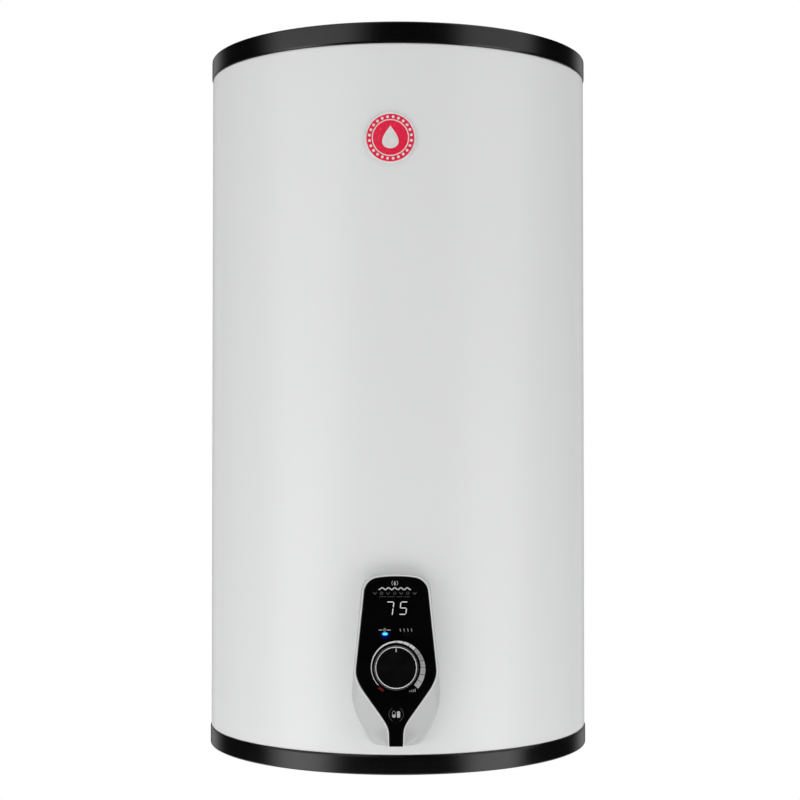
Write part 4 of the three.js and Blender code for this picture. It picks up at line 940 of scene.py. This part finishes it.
def icons():
    """Plain marks in place of lettering: a drop, a wave and small shapes, a power sign, warm air."""
    middle = (-1.5, 208.4)
    brackets = [arc(*middle, side * 3.2, 2.9, 42, 138, 8) for side in (-1, 1)]
    emblem = [drop_shape(*middle, 2.5)] + [stroke(line, 0.5) for line in brackets]
    printed("top_emblem", emblem, "dim_print")
    wave_length, wave_height = 6.7, 0.95
    along = [k / 4 for k in range(-73, 62)]
    wave = [(x, 202.4 + wave_height * math.cos((x + 1.5) * 2 * math.pi / wave_length)) for x in along]
    printed("top_wave", [stroke(wave, 1.35)], "white_print")
    marks = []
    for k, x in enumerate((-22.6, -15.7, -8.7, -1.6, 5.4, 12.4, 19.8)):
        if k % 2:
            marks.append(stroke(ring_mark(x, 197.5, 1.4, 8), 0.4))
        else:
            marks.append(stroke([(x - 1.9, 198.6), (x, 196.2), (x + 1.9, 198.6)], 0.45))
    dashes = ((-17.7, -11), (-9.5, -1.5), (0.5, 6.5), (8, 14.7))
    rules = [stroke([(a, 193.8), (b, 193.8)], 0.35) for a, b in dashes]
    printed("top_marks", marks + rules, "faint_print")
    power, heat = (-12.2, 158.7), (10.5, 158.6)
    sign = [stroke(ring_mark(*power, 1.35, 70), 0.5), stroke([(power[0], 158.9), (power[0], 160.5)], 0.5)]
    dashes = [stroke([(power[0] + a, 158.6), (power[0] + b, 158.6)], 0.9) for a, b in ((-6, -2.9), (2.9, 6))]
    waves = []
    for offset in (-6, -2, 2, 6):
        line = [(heat[0] + offset + 0.5 * math.sin(t * math.pi / 4), 157.2 + 2.8 * t / 8) for t in range(9)]
        waves.append(stroke(line, 0.5))
    printed("lamp_icons", sign + dashes + waves, "dim_print")
    bars = [stroke([(14.4 + 1.9 * k, 94.0), (14.4 + 1.9 * k, 94.6 + 0.7 * k)], 0.9) for k in range(4)]
    printed("scale_end_icon", bars, "dim_print")


def lamp_halo():
    halo = circle(POWER_X, LAMP_Z - 1.4, 6.2, 4.6, 48)
    hole = lamp_loop(POWER_X, 0.11)
    loops = [front_loop(loop, FASCIA_Y - 0.012) for loop in (halo, hole)]
    flat = [[Vector((x, z, 0)) for x, _, z in loop] for loop in loops]
    faces = [tuple(t) for t in tessellate_polygon(flat)]
    add_mesh("lamp_halo", loops[0] + loops[1], faces, "glow", slot="gloss_black", soft=False, panel=True)


def mode_button():
    out = FASCIA_Y + 0.3
    foot = 4.9
    tip = 9.0
    profile = [
        (0, -out), (BUTTON_R - 0.1, -out, 0.35), (BUTTON_R, -out - foot, 0.1),
        (BUTTON_R + 1.2, -out - foot, 0.2), (BUTTON_R + 1.2, -out - foot - 1, 0.2),
        (2, -out - foot - 1), (2, -out - tip), (0, -out - tip),
    ]
    lathe("button_cap", profile, "glass", 72, centre=(PANEL_X, 0, BUTTON_Z), facing="front",
          body="mode_button", slot="gloss_black", replaces=["mode_button"], panel=True)
    on_button = {"slot": "gloss_black", "y": out - 0.03, "body": "mode_button"}
    middle = BUTTON_Z + 0.3
    sides = [stroke(arc(0, middle, 7.6, 7.6, start, start + 116, 29), 0.32) for start in (-148, 32)]
    printed("button_arcs", sides, "faint_print", **on_button)
    left, right = -2.4, 2.5
    cup = arc(left, middle - 1.7, 1.75, 1.75, -90, -270, 10)
    cup += [(left + 1.75, middle - 0.1), (left - 1.75, middle - 0.1)]
    printed("button_icon", [pill(right, middle, 1.7, 3.5), cup], "white_print", **on_button)
    top = arc(left, middle + 2.0, 1.55, 1.55, 90, -90, 10)
    outline = stroke([(left + 1.55, middle)] + top + [(left - 1.55, middle)], 0.4)
    printed("button_outline", [outline], "dim_print", **on_button)


def knob():
    """Turned cap with a dished face, narrow bright ring, pointer and the fixed ring behind."""
    centre = (PANEL_X, FASCIA_Y, KNOB_Z)
    options = {"centre": centre, "facing": "front", "panel": True}
    proud = KNOB_PROUD - 0.2
    inner = KNOB_R - 2.2
    side = [
        (3.4, 0.8), (KNOB_R - 1.3, 0.8, 0.3), (KNOB_R - 1.0, proud - 3.3, 0.3),
        (inner - 0.3, proud - 3.3), (inner - 0.3, proud - 1.0), (3.4, proud - 1.0),
    ]
    lathe("knob_body", side, "knob_side", 128, body="knob", slot="knob_black", replaces=["knob_cap"],
          **options)
    face = [
        (0, proud - 0.55), (inner * 0.5, proud - 0.45), (inner - 0.6, proud - 0.3, 0.3),
        (inner - 0.1, proud - 0.1, 0.2), (inner - 0.1, proud - 2.0), (0, proud - 2.0),
    ]
    lathe("knob_face", face, "knob_black", 160, body="knob", slot="knob_black", **options)
    middle, half = inner + 1.35, 0.6
    seat = [
        (KNOB_R, proud - 3), (KNOB_R, proud - 1.3, 0.4), (middle, proud - 0.75),
        (inner, proud - 0.9, 0.2), (inner, proud - 3),
    ]
    lathe("knob_collar", seat, "knob_side", 160, body="knob", slot="bright_ring", **options)
    crest = arc(middle, proud - 0.7, half, 0.9, 90, -90, 16)
    crest += [(middle - half, proud - 1.4), (middle + half, proud - 1.4)]
    lathe("knob_rim", crest, "bright", 160, body="knob", slot="bright_ring", replaces=["knob_ring"],
          **options)
    width, low, high = 1.1, KNOB_Z + inner - 3.7, KNOB_Z + inner + 0.5
    pointer = [(-width / 2, low), (width / 2, low), (width / 2, high), (-width / 2, high)]
    printed("knob_pointer", [pointer], "white_print", y=FASCIA_Y - proud + 0.25, body="knob", thick=0.8)
    base_ring = [
        (KNOB_R - 0.7, 0.3), (KNOB_R + 1.4, 0.3, 0.2), (KNOB_R + 1.0, 1.8, 0.4),
        (KNOB_R - 0.7, 1.8, 0.3),
    ]
    lathe("knob_base_ring", base_ring, "dim_ring", 160, slot="bright_ring", replaces=["knob_bezel"],
          **options)


# ---------------------------------------------------------------- badge
def on_shell(u, v, height):
    """A point of the badge: u and v across its face, height above the sheet."""
    angle = u / SHELL_R + math.asin(BADGE_X / SHELL_R)
    radius = SHELL_R + height
    return (radius * math.sin(angle), -radius * math.cos(angle), BADGE_Z + v)


def badge_disc(name, profile, look, slot, replaces=(), segments=128, **options):
    """A dished disc from (radius, height) points, bent to the casing."""
    verts, faces = turned(fillet(profile, steps=3), segments, closed=True)
    bent = [on_shell(x, y, z) for x, y, z in verts]
    return add_mesh(name, bent, faces, look, slot=slot, replaces=replaces, **options)


def badge_relief(name, loops, low, high, look, slot):
    """Flat shapes that stand on the badge, with a small chamfer round each."""
    parts = []
    for loop in loops:
        shrunk = grown(loop, -0.18)
        levels = ((loop, low), (loop, high - 0.15), (shrunk, high))
        verts, faces = loft([[on_shell(x, z, height) for x, z in outline] for outline, height in levels])
        flat = [[Vector((x, z, 0)) for x, z in shrunk]]
        faces += [tuple(2 * len(loop) + i for i in t) for t in tessellate_polygon(flat)]
        parts.append((verts, faces))
    verts, faces = joined(*parts)
    add_mesh(name, verts, faces, look, slot=slot, soft=False, sharp=40)


def badge():
    rim = BADGE_R
    band = [
        (0, 0.35), (rim, 0.35, 0.2), (rim, 1.6, 0.6), (rim - 0.8, 2.3, 0.5), (rim - 1.5, 1.6, 0.4),
        (rim - 1.6, 1.3), (0, 1.3),
    ]
    badge_disc("badge_rim", band, "badge_metal", "badge_metal", ["badge_plate"])
    inner = rim - 1.7
    enamel = [
        (0, 1.35), (inner, 1.35), (inner, 1.75, 0.3), (inner - 0.6, 2.0, 0.3), (inner * 0.5, 2.12),
        (0, 2.16),
    ]
    badge_disc("badge_face", enamel, "enamel", "red_enamel", ["badge_enamel"])
    ring_r = 0.71 * rim
    near, far = ring_r - 0.55, ring_r + 0.55
    ring = [(near, 1.6), (far, 1.6), (far, 2.2, 0.15), (near, 2.2, 0.15)]
    badge_disc("badge_circle", ring, "badge_print", "badge_metal")
    drop = drop_shape(0, 0.6, 12.2, 40, 0.98)[::-1]
    badge_relief("badge_drop", [drop], 1.7, 2.4, "badge_print", "badge_metal")
    pearls = []
    for k in range(24):
        angle = 2 * math.pi * (k + 0.5) / 24
        middle = (rim - 1.6 + ring_r) / 2
        pearls.append(circle(middle * math.cos(angle), middle * math.sin(angle), 1.5, 1.5, 14)[::-1])
    badge_relief("badge_pearls", pearls, 1.7, 2.35, "badge_print", "badge_metal")


# ---------------------------------------------------------------- CAD nodes that stay
SIDES = ("upper", "lower")
BRACKETS = [f"{side}_wall_bracket" for side in SIDES]
NUTS = [f"{side}_bracket_nut_{number}" for side in SIDES for number in (1, 2)]
BOLTS = [f"flange_bolt_{number}" for number in (1, 2, 3, 4)]
KEPT = {
    "galvanised": BRACKETS,
    "plated": NUTS + BOLTS + [
        "flange_collar", "flange_plate", "anode_stud", "sensor_pocket", "temperature_probe", "hot_dip_tube",
        "rotary_encoder", "knob_spindle",
    ],
    "enamelled_steel": ["tank_bottom_dome", "tank_wall", "tank_top_dome"],
    "foam": ["insulation_foam"],
    "rubber": ["flange_gasket", "sensor_lead", "panel_harness"],
    "copper": ["heating_element"],
    "magnesium": ["anode_rod"],
    "red_plastic": ["cutout_reset_button", "live_lead", "cutout_link"],
    "blue_plastic": ["neutral_lead"],
    "beige_plastic": ["terminal_block", "inlet_diffuser"],
    "circuit_board": ["power_board", "display_board"],
    "knob_side": ["cutout_body", "mode_switch", "display_module"],
}


def dress_frame():
    """Materials for the CAD nodes that stay, and broken edges for those that show."""
    for look, nodes in KEPT.items():
        for node in nodes:
            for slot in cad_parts[node].material_slots:
                slot.material = M[look]
    for node in BRACKETS + NUTS:
        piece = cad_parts[node]
        flat = piece.modifiers.new("flat", "DECIMATE")
        flat.decimate_type = "DISSOLVE"
        flat.angle_limit = math.radians(1)
        edge = piece.modifiers.new("edges", "BEVEL")
        edge.width = 0.5 * MM
        edge.segments = 2
        edge.limit_method = "ANGLE"
        edge.angle_limit = math.radians(40)


# ---------------------------------------------------------------- studio
def make_world():
    """A soft studio: two tall softboxes at the front corners, a pale backdrop behind, a light ceiling."""
    world = bpy.data.worlds.new("studio")
    bpy.context.scene.world = world
    world.use_nodes = True
    world.node_tree.nodes.clear()
    tree = Tree(world.node_tree)
    direction = tree.add("SeparateXYZ", {0: tree.add("TexCoord").outputs["Generated"]})
    x, y, z = direction.outputs
    azimuth = tree.math("MULTIPLY", tree.math("ARCTAN2", x, tree.math("MULTIPLY", y, -1.0)), 180 / math.pi)
    height = tree.math("MULTIPLY", tree.math("ARCSINE", z), 180 / math.pi)

    def edge(slope, at, soft, rising):
        """A softbox's side, which leans: its azimuth changes with the height."""
        where = tree.math("SUBTRACT", azimuth, tree.math("MULTIPLY", height, slope))
        return tree.ramp(where, at - soft, at + soft, *((0.0, 1.0) if rising else (1.0, 0.0)))

    def softbox(near, far, levels):
        width = tree.math("MULTIPLY", edge(*near, True), edge(*far, False))
        return tree.math("MULTIPLY", width, tree.ramp(height, *levels))

    # A side is its lean, azimuth and softness; the levels fade from one height and light to another.
    left = softbox((-0.23, -80, 12), (0.73, -33, 11), (-6, 26, 2.38, 0.68))
    right = softbox((-0.16, 39, 9), (0.43, 82, 8), (-10, 10, 2.15, 1.06))
    away = tree.math("ABSOLUTE", azimuth)
    backdrop = tree.math("MULTIPLY", tree.ramp(away, 128, 150), tree.ramp(away, 154, 168, 0.42, 0.03))
    ceiling = tree.ramp(height, 35, 65, 0.0, 0.9)
    total = tree.math("ADD", tree.math("ADD", left, right), tree.math("ADD", backdrop, ceiling))
    room = tree.math("ADD", total, 0.02)
    path = tree.add("LightPath")
    side_fill = tree.ramp(azimuth, -110, 0, 0.13, 0.0)
    fill = tree.math("MULTIPLY", path.outputs["Is Diffuse Ray"], side_fill)
    lit = tree.add("Background", {"Color": rgba(1), "Strength": tree.math("ADD", room, fill)})
    white = tree.add("Background", {"Color": rgba(1), "Strength": 1.0})
    seen = tree.add("MixShader", {0: path.outputs["Is Camera Ray"], 1: lit.outputs[0], 2: white.outputs[0]})
    tree.add("OutputWorld", {"Surface": seen.outputs[0]})


def make_floor():
    """A round pale floor, well below the heater as under one hung on a wall."""
    material, tree = shader("floor", Roughness=0.9, Emission_Strength=0.75, Emission_Color=rgba(1))
    drift = tree.noise(0.6, 2)
    tree.connect(Base_Color=tree.mix(drift, rgba(0.86), rgba(0.9)))
    turns = [2 * math.pi * k / 96 for k in range(96)]
    points = [Vector((FLOOR_R * math.cos(a), FLOOR_R * math.sin(a), FLOOR_Z)) for a in turns]
    mesh = bpy.data.meshes.new("floor")
    mesh.from_pydata(points, [], [tuple(range(96))])
    mesh.materials.append(material)
    floor = bpy.data.objects.new("floor", mesh)
    bpy.context.scene.collection.objects.link(floor)


make_camera()
make_world()
make_floor()
dress_frame()
outer_shell()
caps()
service_cover()
for number in (1, 2, 3):
    screw(f"lid_screw_{number}", f"cover_screw_{number}")
pipe("cold_pipe", "cold_inlet_nipple", "cold_ring", "cold_collar", "blue_plastic")
pipe("hot_pipe", "hot_outlet_nipple", "hot_ring", "hot_collar", "red_plastic")
cable_gland()
panel_housing()
fascia()
lamps()
lamp_halo()
scale_arc()
digits()
icons()
mode_button()
knob()
badge()
view = bpy.context.scene.view_settings
view.view_transform = "Standard"
